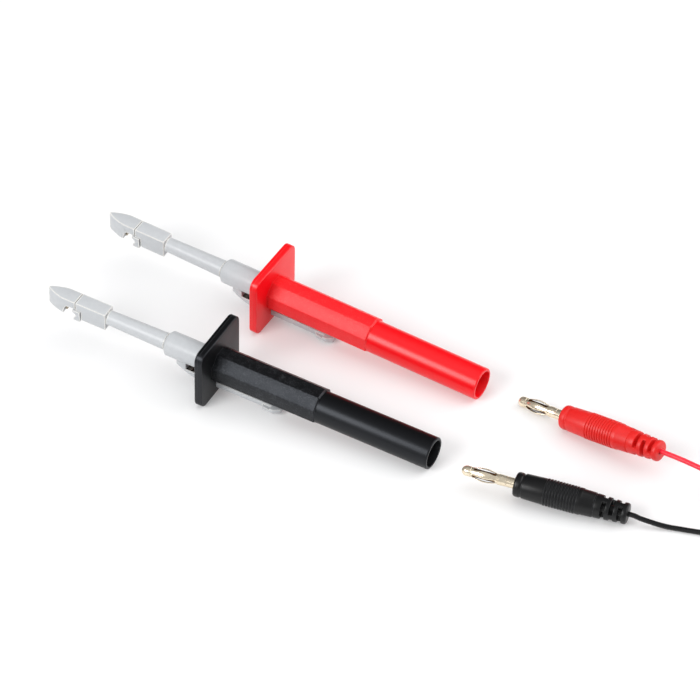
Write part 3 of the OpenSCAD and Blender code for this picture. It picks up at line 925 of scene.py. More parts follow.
@dataclass(frozen=True)
class PlatedMetal:
    """A turned or stamped metal with a bright plating.

    Its marks, grain, blotches, pitch and depth are in millimetres.
    """

    name: str
    colour: Rgb
    dull: Rgb
    roughness: float = 0.2
    brighter: float = 0.07
    duller: float = 0.09
    tarnish: float = 0.35
    marks: float = 2.5
    grain: float = 0.08
    blotches: float = 0.9
    pitch: float = 0.15
    depth: float = 0.004
    relief: float = 0.5
    own_axis: bool = True
    metallic: float = 1.0

    def material(self, effects: Effects) -> bpy.types.Material:
        """Builds the material.

        Args:
            effects: The shared effects.

        Returns:
            The material.
        """
        made, sheet, shader = started(self.name)
        place = sheet.node("TexCoord").outputs["Object"]
        marks = effect(sheet, effects.handling, place, Size=self.marks)
        sizes = {"Grain": self.grain, "Mottle_Size": self.blotches}
        grain = effect(sheet, effects.grain, place, **sizes)
        tarnish = sheet.sum("MULTIPLY", grain.outputs["Mottle"], self.tarnish)
        sheet.join(blended(sheet, tarnish, self.colour, self.dull), shader.inputs["Base Color"])
        shader.inputs["Metallic"].default_value = self.metallic
        height = grain.outputs["Height"]
        if self.own_axis:
            own = sheet.node("Attribute", attribute_name=OWN_PLACE).outputs["Vector"]
            height = effect(sheet, effects.turning, own, Pitch=self.pitch).outputs["Height"]
        rough = (self.roughness - self.brighter, self.roughness + self.duller)
        relief = (self.relief, self.depth)
        surfaced(sheet, shader, marks.outputs["Rubbed"], rough, height, relief)
        return made


@dataclass(frozen=True)
class CordJacket:
    """The glossy soft jacket of a thin lead.

    Its marks, grain, blotches and depth are in millimetres.
    """

    name: str
    colour: Rgb
    deep: Rgb
    roughness: float = 0.3
    brighter: float = 0.08
    duller: float = 0.1
    mottle: float = 0.6
    marks: float = 5.0
    grain: float = 0.5
    blotches: float = 4.0
    depth: float = 0.02
    relief: float = 0.4
    shine: float = 0.35

    def material(self, effects: Effects) -> bpy.types.Material:
        """Builds the material.

        Args:
            effects: The shared effects.

        Returns:
            The material.
        """
        made, sheet, shader = started(self.name)
        place = sheet.node("TexCoord").outputs["Object"]
        sizes = {"Grain": self.grain, "Mottle_Size": self.blotches}
        grain = effect(sheet, effects.grain, place, **sizes)
        rubbed = effect(sheet, effects.handling, place, Size=self.marks)
        mottle = sheet.sum("MULTIPLY", grain.outputs["Mottle"], self.mottle)
        sheet.join(blended(sheet, mottle, self.colour, self.deep), shader.inputs["Base Color"])
        rough = (self.roughness - self.brighter, self.roughness + self.duller)
        height, relief = grain.outputs["Height"], (self.relief, self.depth)
        surfaced(sheet, shader, rubbed.outputs["Rubbed"], rough, height, relief)
        shader.inputs["Specular IOR Level"].default_value = self.shine
        return made


PLASTICS = (
    MouldedPlastic(
        "black_grained", (0.003, 0.003, 0.0035), (0.075, 0.078, 0.086), (0.002, 0.002, 0.002),
        roughness=0.40, grain=0.45, depth=0.24, shine=0.34, flecks=0.42, tint=(0.84, 0.90, 1.0),
    ),
    MouldedPlastic(
        "black_smooth", (0.003, 0.003, 0.0035), (0.07, 0.072, 0.08), (0.002, 0.002, 0.002),
        roughness=0.36, spread=0.02, depth=0.01, paling=0.4, shine=0.32, tint=(0.86, 0.91, 1.0),
    ),
    MouldedPlastic(
        "red_grained", (0.86, 0.007, 0.012), (0.98, 0.12, 0.11), (0.80, 0.004, 0.009),
        roughness=0.40, spread=0.06, grain=0.45, depth=0.20, paling=0.45, shine=0.40, flecks=0.25,
    ),
    MouldedPlastic(
        "red_smooth", (0.86, 0.001, 0.006), (0.98, 0.10, 0.10), (0.80, 0.001, 0.005),
        roughness=0.29, spread=0.015, grain=0.1, depth=0.004, paling=0.35, shine=0.43,
    ),
    # The grey pieces carry a strong painted edge highlight in a pale cream.
    *(
        MouldedPlastic(
            name, (0.50, 0.515, 0.53), (0.90, 0.87, 0.80), (0.44, 0.455, 0.47),
            roughness=0.36, spread=0.06, grain=0.1, depth=0.01, paling=paling, shine=0.55,
            edge=edge,
        )
        for name, paling, edge in (("grey_nylon", 1.0, 0.8), ("grey_slide", 0.9, 0.45))
    ),
    # Painted shade: a near-black grey laid inside the sleeve's rail channel, where shade falls.
    MouldedPlastic(
        "grey_painted_shade", (0.10, 0.085, 0.075), (0.16, 0.14, 0.13), (0.08, 0.07, 0.06),
        roughness=0.5, spread=0.06, grain=0.1, depth=0.01, paling=0.3, shine=0.3,
    ),
    MouldedPlastic(
        "black_boot", (0.006, 0.006, 0.0065), (0.06, 0.062, 0.068), (0.004, 0.004, 0.004),
        roughness=0.35, spread=0.03, grain=0.2, depth=0.015, shine=0.32,
    ),
    MouldedPlastic(
        "red_boot", (0.74, 0.014, 0.012), (0.90, 0.08, 0.05), (0.66, 0.009, 0.008),
        roughness=0.4, spread=0.04, grain=0.2, paling=0.3, shine=0.42,
    ),
    MouldedPlastic(
        "tie_strap", (0.014, 0.014, 0.015), (0.05, 0.05, 0.05), (0.008, 0.008, 0.008),
        roughness=0.6, spread=0.05, grain=0.3, depth=0.05, paling=0.4, shine=0.4,
    ),
)
METALS = (
    PlatedMetal(
        "pin_plating", (0.96, 0.85, 0.66), (0.66, 0.50, 0.32),
        pitch=0.2, depth=0.002, metallic=0.82,
    ),
    PlatedMetal(
        "cage_plating", (0.97, 0.86, 0.67), (0.68, 0.51, 0.32),
        roughness=0.22, pitch=0.5, depth=0.0015, metallic=0.82,
    ),
    # Painted shade: a dark brown for the cage's inside and the pin's waist, between the blades
    # where shade falls.
    PlatedMetal(
        "cage_painted_shade", (0.36, 0.22, 0.12), (0.20, 0.12, 0.06),
        roughness=0.3, pitch=0.5, depth=0.0015,
    ),
    PlatedMetal(
        "spring_wire", (0.62, 0.62, 0.63), (0.45, 0.45, 0.46), roughness=0.28, pitch=0.2
    ),
    *(
        PlatedMetal(name, colour, dull, roughness=roughness, own_axis=False)
        for name, colour, dull, roughness in (
            ("bare_brass", (0.72, 0.52, 0.28), (0.45, 0.31, 0.16), 0.3),
            ("contact_strip", (0.42, 0.36, 0.28), (0.28, 0.22, 0.16), 0.34),
            ("inner_plating", (0.80, 0.76, 0.68), (0.62, 0.57, 0.48), 0.25),
            ("washer_steel", (0.60, 0.60, 0.61), (0.45, 0.45, 0.46), 0.3),
        )
    ),
)
JACKETS = (
    CordJacket("black_jacket", (0.007, 0.007, 0.008), (0.005, 0.005, 0.005)),
    CordJacket("red_jacket", (0.88, 0.03, 0.055), (0.80, 0.015, 0.035)),
)


class Finishes:
    """Every material of the set by the name of its finish."""

    def __init__(self, effects: Effects) -> None:
        """Builds every material once."""
        finishes = (*PLASTICS, *METALS, *JACKETS)
        self.made = {finish.name: finish.material(effects) for finish in finishes}

    def __getitem__(self, name: str) -> bpy.types.Material:
        """The material of that name."""
        return self.made[name]

    def among(self, *names: str) -> list[bpy.types.Material]:
        """The materials of those names, in order."""
        return [self.made[name] for name in names]


# ---- Camera, floor and light ----


@dataclass(frozen=True)
class Softbox:
    """A square area light that faces the set, in metres and watts."""

    name: str
    way: Point
    distance: float
    size: float
    power: float
    glossy: bool = True
    shadow: bool = True

    def build(self, target: Vector) -> None:
        """Stands the light at its distance from the set.

        Args:
            target: The point that it faces.
        """
        lay_down_tools()
        direction = Vector(self.way).normalized()
        bpy.ops.object.light_add(type="AREA", location=target + direction * self.distance)
        light = bpy.context.object
        light.name = self.name
        light.data.size = self.size
        light.data.energy = self.power
        light.data.use_shadow = self.shadow
        light.visible_glossy = self.glossy
        light.rotation_euler = (-direction).to_track_quat("-Z", "Y").to_euler()


@dataclass
class Studio:
    """The pale floor, the soft light and the camera that looks down on the set."""

    azimuth: float = 31.33
    elevation: float = 44.144
    roll: float = -3.152
    distance: float = 1.52315
    target: Point = (-0.0119, 0.0166, 0.0)
    focal_px: float = 4287.06
    picture_px: int = 700
    sensor: float = 36.0
    clip: tuple[float, float] = (0.05, 20.0)
    sky: Rgb = (0.97, 0.98, 1.0)
    near_sky: float = 0.45
    far_sky: float = 0.07
    sky_band: tuple[float, float] = (-0.1, 0.7)
    floor_size: float = 6.0
    floor_drop: float = 0.00005
    floor_colour: Rgb = (0.73, 0.73, 0.73)
    floor_glow: float = 0.15
    lights: tuple[Softbox, ...] = (
        Softbox("key_softbox", (-0.31, -0.735, 0.60), distance=1.4, size=0.7, power=12.0),
        Softbox("right_softbox", (0.75, 0.5, 0.38), distance=1.3, size=1.2, power=10.0),
        Softbox(
            "top_softbox", (0.15, 0.3, 1.0), distance=2.0, size=3.0, power=27.0, glossy=False
        ),
        Softbox(
            "sky_fill", (0.1, -0.1, 1.0), distance=2.0, size=3.0, power=7.0, glossy=False,
            shadow=False,
        ),
    )

    def camera(self) -> None:
        """Makes the camera from its angles, its target and its distance."""
        lay_down_tools()
        az, el, roll = (math.radians(v) for v in (self.azimuth, self.elevation, self.roll))
        ahead = Vector((-math.sin(az) * math.cos(el), math.cos(az) * math.cos(el), -math.sin(el)))
        level = Vector((math.cos(az), math.sin(az), 0))
        above = level.cross(ahead)
        right = level * math.cos(roll) + above * math.sin(roll)
        up = above * math.cos(roll) - level * math.sin(roll)
        place = Vector(self.target) - ahead * self.distance
        turn = Matrix((right, up, -ahead)).transposed().to_4x4()
        bpy.ops.object.camera_add()
        camera = bpy.context.object
        camera.name = "camera"
        camera.matrix_world = Matrix.Translation(place) @ turn
        camera.data.sensor_width = self.sensor
        camera.data.lens = self.focal_px / self.picture_px * self.sensor
        camera.data.clip_start, camera.data.clip_end = self.clip
        bpy.context.scene.camera = camera
        LOG.info("camera in place")

    def floor(self) -> None:
        """Lays the floor: matt paper a hair under the set."""
        lay_down_tools()
        bpy.ops.mesh.primitive_plane_add(size=self.floor_size, location=(0, 0, -self.floor_drop))
        floor = bpy.context.object
        floor.name = "floor"
        made, _, shader = started("floor_paper")
        shader.inputs["Base Color"].default_value = (*self.floor_colour, 1)
        shader.inputs["Emission Color"].default_value = (1, 1, 1, 1)
        shader.inputs["Emission Strength"].default_value = self.floor_glow
        shader.inputs["Roughness"].default_value = 0.7
        shader.inputs["Specular IOR Level"].default_value = 0.2
        floor.data.materials.append(made)

    def room(self) -> None:
        """Makes the room's light: soft on the near side, dim behind, pale where it is seen."""
        world = bpy.data.worlds.new("sky")
        world.use_nodes = True
        sheet, background = Sheet(world.node_tree), world.node_tree.nodes["Background"]
        behind = sheet.node("VectorMath", operation="DOT_PRODUCT")
        az = math.radians(self.azimuth)
        behind.inputs[1].default_value = (-math.sin(az), math.cos(az), 0.0)
        sheet.join(sheet.node("TexCoord").outputs["Generated"], behind.inputs[0])
        ends = {"From_Min": self.sky_band[0], "From_Max": self.sky_band[1]}
        ends |= {"To_Min": self.near_sky, "To_Max": self.far_sky}
        soft = sheet.ranged(behind.outputs["Value"], **ends)
        seen = sheet.node("LightPath").outputs["Is Camera Ray"]
        sheet.join(sheet.sum("MAXIMUM", soft, seen), background.inputs["Strength"])
        background.inputs["Color"].default_value = (*self.sky, 1)
        bpy.context.scene.world = world

    def build(self) -> None:
        """Makes the floor, the lights and the room."""
        self.floor()
        for light in self.lights:
            light.build(Vector(self.target))
        self.room()
        bpy.context.scene.view_settings.view_transform = "Standard"
        LOG.info("floor and light in place")


# ---- The plug leads ----


@dataclass(frozen=True)
class Coil:
    """The put-away length of a lead: turns that spiral in and out in layers, in metres."""

    centre: tuple[float, float]
    start: float
    way: int
    turns: float
    radius: float = 0.0098
    pitch: float = 0.00225
    lift: float = 0.0015
    layers: int = 4
    per_turn: int = 24

    def half_width(self) -> float:
        """Half the width of the wound band."""
        return self.pitch * self.turns / self.layers / 2

    def point(self, t: float) -> Vector:
        """Where the spiral stands.

        Args:
            t: The turns so far.

        Returns:
            The place.
        """
        count = self.turns / self.layers
        layer = math.floor(t / count)
        share = t / count - layer
        swing = 0.5 - share if layer % 2 == 0 else share - 0.5
        r = self.radius + self.pitch * count * swing
        starts = [k * count for k in range(1, self.layers)]
        climb = sum(max(0.0, min(1.0, 2 * (t - start) + 0.5)) for start in starts)
        a = math.radians(self.start + self.way * 360 * t)
        x, y = self.centre[0] + r * math.cos(a), self.centre[1] + r * math.sin(a)
        return Vector((x, y, self.lift + self.pitch * climb))

    def ahead(self, t: float) -> Vector:
        """The direction of travel after t turns."""
        a = math.radians(self.start + self.way * (360 * t + 90))
        return Vector((math.cos(a), math.sin(a), 0))

    def path(self, straight: float) -> list[Vector]:
        """The coil as points.

        Args:
            straight: The length of the straight stretch at both ends.

        Returns:
            The points in order.
        """
        last = self.turns - 0.0001
        steps = round(self.turns * self.per_turn)
        first, end = self.point(0), self.point(last)
        a, b = self.ahead(0) * straight, self.ahead(last) * straight
        inner = [self.point(self.turns * i / steps) for i in range(4, steps - 3)]
        return [first - a, first, first + a, *inner, end - b, end, end + b]


@dataclass
class Plug:
    """A 4 mm plug with a sprung cage and a ribbed boot, in millimetres from its tip.

    Its steps are outline points as (along, outwards) from a place and a radius.
    """

    pin_len: float = 19.3
    nose_r: float = 1.86
    nose_len: float = 1.9
    shank_r: float = 1.94
    shank_steps: Outline = ((0.0, -0.1), (0.1, 0.0), (1.5, 0.0), (1.62, -0.05))
    groove: float = 0.07
    groove_steps: Outline = ((1.68, 0.0), (3.1, 0.0), (3.16, -0.06), (3.36, -0.06), (3.42, 0.0))
    core_r: float = 1.52
    cage_r: float = 2.5
    cage_t: float = 0.25
    cage_front: float = 3.4
    cage_rear: float = 13.2
    cage_band: float = 0.8
    cage_slot: float = 1.3
    cage_slots: int = 4
    boot_len: float = 40.3
    collar_r: float = 4.35
    collar_steps: Outline = (
        (0.0, -0.75), (0.08, -0.5), (0.3, -0.2), (0.6, -0.06), (0.9, 0.0), (1.9, 0.0),
        (2.15, -0.03), (2.35, -0.12), (2.5, -0.26), (2.75, -0.3), (2.95, -0.26), (3.02, -0.1),
        (3.2, 0.02), (3.5, 0.06),
    )
    rib_r: float = 4.8
    rib_depth: float = 0.36
    rib_count: int = 11
    rib_pitch: float = 1.05
    ribs_at: float = 10.8
    rib_shape: Outline = (
        (0.0, 0.4), (0.04, 0.85), (0.1, 1.0), (0.52, 1.0), (0.6, 0.85), (0.64, 0.4), (0.7, 0.0),
        (0.94, 0.0),
    )
    neck_steps: Outline = ((0.05, -0.1), (1.2, -0.1), (1.4, -0.16), (1.6, -0.3))
    end_r: float = 3.75
    waist_steps: Outline = (
        (-2.95, 0.61), (-2.85, 0.55), (-2.78, 0.32), (-2.42, 0.32), (-2.32, 0.5), (-2.2, 0.52),
    )
    end_steps: Outline = ((-0.7, 0.02), (-0.35, -0.1), (-0.1, -0.35), (0.0, -0.65))
    slot_w: float = 1.45
    slot_pitch: float = 2.95
    slot_count: int = 3
    slots_at: float = 31.1
    slot_core_r: float = 1.6
    bridge_half: float = 15.0
    boot_steps: int = 48
    crimp_end: float = 35.3
    wire_start: float = 31.3
    cord_r: float = 0.9
    fit: float = 0.02
    patterns: dict[str, bpy.types.Object] = field(default_factory=dict)

    def length(self) -> float:
        """From the tip to the cord's exit."""
        return self.pin_len + self.boot_len

    def ribs_end(self) -> float:
        """Where the ribs end, from the boot's front."""
        return self.ribs_at + self.rib_count * self.rib_pitch

    def on_ribs(self) -> tuple[float, float]:
        """How the plug lies on its last rib and its tail end.

        Returns:
            The dip of its tail in degrees, and the height of its tip's axis.
        """
        ribs, tail = self.pin_len + self.ribs_end(), self.length() - 0.5
        dip = math.asin((self.rib_r - self.end_r) / (tail - ribs))
        return math.degrees(dip), rest_height(ribs, self.rib_r, dip)

    def on_nose(self) -> tuple[float, float]:
        """How the plug lies on its pin's nose and its front collar.

        Returns:
            The dip of its tail in degrees, which is below 0, and the height of its tip's axis.
        """
        collar = self.pin_len + 0.9
        dip = math.asin((self.nose_r - self.collar_r) / (collar - self.nose_len))
        return math.degrees(dip), rest_height(self.nose_len, self.nose_r, dip)

    def pin(self) -> bpy.types.Object:
        """Turns the pin: nose, waist under the cage, shank and crimp barrel.

        Returns:
            The pin, with the waist as its second zone, which is painted dark as shade under the
            cage.
        """
        front, shoulder = self.cage_front - self.fit, self.cage_rear + self.fit
        thin, bore = self.shank_r - self.groove, self.cord_r + self.fit
        outline = [
            *[(self.nose_len * (1 - cos), self.nose_r * sin) for sin, cos in quarter(9)],
            (front - 0.1, self.nose_r), (front, self.nose_r - 0.1),
            (front, self.core_r), (shoulder, self.core_r),
            *stepped(shoulder, self.shank_r, self.shank_steps),
            *stepped(shoulder, thin, self.groove_steps),
            (self.crimp_end, thin), (self.crimp_end, bore),
            (self.wire_start, bore), (self.wire_start, 0),
        ]
        return zoned(smoothed(turned("pin_pattern", outline, 64), 40), self.under_cage)

    def under_cage(self, at: Vector, facing: Vector) -> bool:
        """Whether a face of the pin lies on its waist."""
        return self.cage_front < at.x < self.cage_rear and abs(facing.x) < 0.5

    def cage(self) -> bpy.types.Object:
        """Turns the sprung cage and cuts its long slots.

        Returns:
            The cage, with its inside as its second zone, which is painted dark as shade.
        """
        inner_r = self.core_r + self.fit
        bulge = self.cage_r - self.cage_t - inner_r
        reach = self.cage_rear - self.cage_front - 2 * self.cage_band
        front, half, steps = self.cage_front + self.cage_band, self.cage_slot / 2, 16
        arch = [
            (front + reach * i / steps, inner_r + bulge * math.sin(math.pi * i / steps))
            for i in range(steps + 1)
        ]
        inside = [(self.cage_front, inner_r), *arch, (self.cage_rear, inner_r)]
        outside = [(x, r + self.cage_t) for x, r in reversed(inside)]
        piece = turned("cage_pattern", [*inside, *outside], 72, ring=True)
        for k in range(self.cage_slots):
            slot = block("slot", (front, -half, 0.0), (front + reach, half, self.cage_r + 1))
            round_edges(slot, self.cage_slot * 0.46, 5, upright)
            meet(piece, rolled(slot, 360 / self.cage_slots * k), Cut.TAKE)
        round_edges(piece, 0.05, 1, sharper(40))
        return zoned(smoothed(piece, 35), inward)

    def rib_outline(self) -> list[tuple[float, float]]:
        """The fine ribs of the grip.

        Returns:
            (x, radius) from the boot's front.
        """
        low = self.rib_r - self.rib_depth
        return [
            (self.ribs_at + (i + share) * self.rib_pitch, low + rise * self.rib_depth)
            for i in range(self.rib_count)
            for share, rise in self.rib_shape
        ]

    def boot_outline(self) -> list[tuple[float, float]]:
        """The boot's skin from front to tail, then its bore.

        Returns:
            (x, radius) from the boot's front.
        """
        x, tail, end_r = self.slots_at, self.boot_len, self.end_r
        crimp, bore = self.crimp_end - self.pin_len + self.fit, self.cord_r + self.fit
        starts = [x + i * self.slot_pitch for i in range(self.slot_count)]
        walls = [start + side for start in starts for side in (0, self.slot_w)]
        return [
            (0, self.shank_r - 0.05),
            *stepped(0, self.collar_r, self.collar_steps),
            (self.ribs_at - 0.6, self.rib_r - 0.16), (self.ribs_at - 0.15, self.rib_r - 0.2),
            *self.rib_outline(),
            *stepped(self.ribs_end(), self.rib_r, self.neck_steps),
            *stepped(x, end_r, self.waist_steps),
            *[(wall, end_r + 0.5 - 0.055 * (wall - x + 2)) for wall in walls],
            *stepped(tail, end_r, self.end_steps),
            (tail, self.cord_r + 0.35), (tail - 0.25, self.cord_r + 0.05),
            (tail - 0.4, bore), (crimp, bore), (crimp, self.shank_r - 0.05),
        ]

    def boot(self) -> bpy.types.Object:
        """Turns the ribbed grip and sinks the strain relief's windows.

        Returns:
            The boot, behind the pin.
        """
        piece = turned("boot_pattern", self.boot_outline(), self.boot_steps, ring=True)
        open_mesh(piece, "FACE")
        pick_faces(piece, self.in_window)
        bpy.ops.mesh.extrude_region_move()
        sink = self.slot_core_r / (self.end_r + 0.3)
        bpy.ops.transform.resize(value=(1, sink, sink), center_override=(0, 0, 0))
        close_mesh()
        round_edges(piece, 0.36, 3, self.is_window_end)
        round_edges(piece, 0.2, 3, self.is_window_lip)
        take_up(piece)
        piece.location = (self.pin_len, 0, 0)
        apply_place()
        return smoothed(piece, 38)

    def in_window(self, at: Vector, facing: Vector) -> bool:
        """Whether a face of the boot's skin lies in a window, which leaves two bridges.

        Args:
            at: The face's middle.
            facing: Its normal, which doesn't matter here.

        Returns:
            Whether it does.
        """
        number, place = divmod(at.x - self.slots_at, self.slot_pitch)
        if not 0 <= number < self.slot_count or place > self.slot_w:
            return False
        beside, along = (at.y, at.z) if number % 2 == 0 else (at.z, at.y)
        clear = abs(math.degrees(math.atan2(beside, abs(along)))) > self.bridge_half
        return clear and math.hypot(at.y, at.z) >= self.slot_core_r

    def is_window_end(self, at: Vector, way: Vector, turn: float) -> bool:
        """Whether an edge stands where a window ends at a bridge.

        Args:
            at: The edge's middle.
            way: Its direction.
            turn: The degrees between its faces.

        Returns:
            Whether it does.
        """
        middle = (self.slot_core_r + self.end_r) / 2
        among = self.slots_at - 0.1 < at.x < self.boot_len - 1
        beside = abs(math.hypot(at.y, at.z) - middle) < 0.5
        return among and beside and turn > 60 and abs(way.x) < 0.1

    def is_window_lip(self, at: Vector, way: Vector, turn: float) -> bool:
        """Whether an edge is a window's lip in the boot's skin.

        Args:
            at: The edge's middle.
            way: Its direction, which doesn't matter here.
            turn: The degrees between its faces.

        Returns:
            Whether it is.
        """
        among = self.slots_at - 0.2 < at.x < self.boot_len - 0.9
        return among and turn > 50 and math.hypot(at.y, at.z) > self.end_r - 0.4

    def model(self) -> None:
        """Models the pin, the cage and the boot once."""
        pieces = {"pin": self.pin(), "cage": self.cage(), "boot": self.boot()}
        self.patterns = {part: remembered(piece) for part, piece in pieces.items()}

    def dress(
        self, colour: Colour, far: bool, place: Placement, finishes: Finishes
    ) -> list[bpy.types.Object]:
        """Puts one plug in its place.

        Args:
            colour: The lead's colour.
            far: Whether it is the plug at the put-away end.
            place: Where its tip lies and how it points.
            finishes: The materials.

        Returns:
            Its pieces and its wire's CAD node.
        """
        c, end = colour.value, "far" if far else "plug"
        cage = f"{c}_far_cage" if far else f"{c}_lantern_cage"
        # The pin's waist and the cage's inside take a painted shade as their second material.
        parts = (
            ("pin", f"{c}_{end}_pin", "plated_brass", ("pin_plating", "cage_painted_shade")),
            ("cage", cage, "plated_brass", ("cage_plating", "cage_painted_shade")),
            ("boot", f"{c}_{end}_boot", f"{c}_boot", (f"{c}_boot",)),
        )
        pieces = []
        for part, node, slot, looks in parts:
            pattern, name, finish = self.patterns[part], f"{c}_{end}_{part}", finishes.among(*looks)
            pieces.append(put(pattern, f"{name}_dressed", place, "set", node, finish))
        return [*pieces, bare(f"{c}_{end}_wire", finishes[f"{c}_jacket"])]


@dataclass
class Lead:
    """One lead: its near plug, its cord with the put-away coil, the coil's tie and its far plug."""

    colour: Colour
    near: Placement
    far: Placement
    route: list[Point]
    coil: Coil
    tail: list[Point]
    tie_turn: float
    diameter: float = 0.0018
    tie_t: float = 0.0005
    tie_w: float = 0.003
    tie_slack: float = 0.0003

    def path(self, plug: Plug) -> list[Vector]:
        """The cord's points from the near boot, through the coil, to the far boot.

        Args:
            plug: The plug at both ends.

        Returns:
            The points in order.
        """
        tip = (plug.length(), 0, 0)
        leaves, arrives = self.near.point(tip), self.far.point(tip)
        return [
            leaves,
            leaves + self.near.way() * self.diameter,
            *(Vector(p) for p in self.route),
            *self.coil.path(self.diameter),
            *(Vector(p) for p in self.tail),
            arrives + self.far.way() * self.diameter,
            arrives,
        ]

    def cord(self, plug: Plug, finishes: Finishes) -> bpy.types.Object:
        """Lays the cord as one smooth curve and gives it its round section.

        Args:
            plug: The plug at both ends.
            finishes: The materials.

        Returns:
            The curve.
        """
        c = self.colour.value
        points = self.path(plug)
        data = bpy.data.curves.new(f"{c}_lead_cord", "CURVE")
        data.dimensions, data.resolution_u, data.render_resolution_u = "3D", 4, 4
        data.bevel_depth, data.bevel_resolution, data.use_fill_caps = self.diameter / 2, 2, True
        line = data.splines.new("BEZIER")
        line.bezier_points.add(len(points) - 1)
        for knot, place in zip(line.bezier_points, points):
            knot.co = place
            knot.handle_left_type = knot.handle_right_type = "AUTO"
        data.materials.append(finishes[f"{c}_jacket"])
        cord = bpy.data.objects.new(f"{c}_lead_cord", data)
        bpy.context.scene.collection.objects.link(cord)
        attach(cord, "set")
        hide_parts(f"{c}_cord", f"{c}_cord_coil", f"{c}_cord_tail")
        LOG.info("%s: %d points", cord.name, len(points))
        return cord

    def strap(self) -> bpy.types.Object:
        """Folds the strap round the coil's section, with its end lapped over itself.

        Returns:
            The strap, in millimetres from the coil's centre.
        """
        coil, r = self.coil, self.diameter / 2
        half = coil.half_width()
        inside = math.sqrt((coil.radius - half - r) ** 2 - (self.tie_w / 2) ** 2) - self.tie_slack
        outside = coil.radius + half + r + self.tie_slack
        top = coil.lift + coil.pitch * (coil.layers - 1) + r + self.tie_slack / 2
        low = [v / MM for v in (inside - self.tie_t, -self.tie_w / 2, 0.0)]
        high = [v / MM for v in (outside + self.tie_t, self.tie_w / 2, top + self.tie_t)]
        t, w = self.tie_t / MM, self.tie_w / MM / 2
        strap = block("tie_pattern", low, high)
        round_edges(strap, 1.4, 5, crosswise)
        hollow = block("hollow", (low[0] + t, -w - 1, t), (high[0] - t, w + 1, high[2] - t))
        round_edges(hollow, 1.0, 5, crosswise)
        meet(strap, hollow, Cut.TAKE)
        start, end, inner = low[0] + 1.6, low[0] + 6.2, w - 0.15
        lap = block("lap", (start, -inner, high[2] - 0.1), (end, inner, high[2] + 0.3))
        round_edges(lap, 0.9, 4, lambda at, way, turn: abs(way.z) > 0.9 and at.x > low[0] + 4)
        meet(strap, lap, Cut.ADD)
        round_edges(strap, 0.1, 2, sharper(50))
        return remembered(smoothed(strap))

    def tie(self, finishes: Finishes) -> bpy.types.Object:
        """Puts the strap round the coil.

        Args:
            finishes: The materials.

        Returns:
            The strap.
        """
        c, (x, y) = self.colour.value, self.coil.centre
        strap = self.strap()
        place = Placement((x / MM, y / MM, 0.0), turn=self.tie_turn)
        looks = finishes.among("tie_strap")
        made = put(strap, f"{c}_tie_strap", place, "set", f"{c}_coil_tie", looks)
        bpy.data.objects.remove(strap)
        return made

    def build(self, plug: Plug, finishes: Finishes) -> None:
        """Args:
            plug: The plug at both ends.
            finishes: The materials.
        """
        cord = self.cord(plug, finishes)
        plug.dress(self.colour, False, self.near, finishes)
        carried = [*plug.dress(self.colour, True, self.far, finishes), self.tie(finishes)]
        self.near.point((plug.length(), 0, 0))


# ---- The probes ----


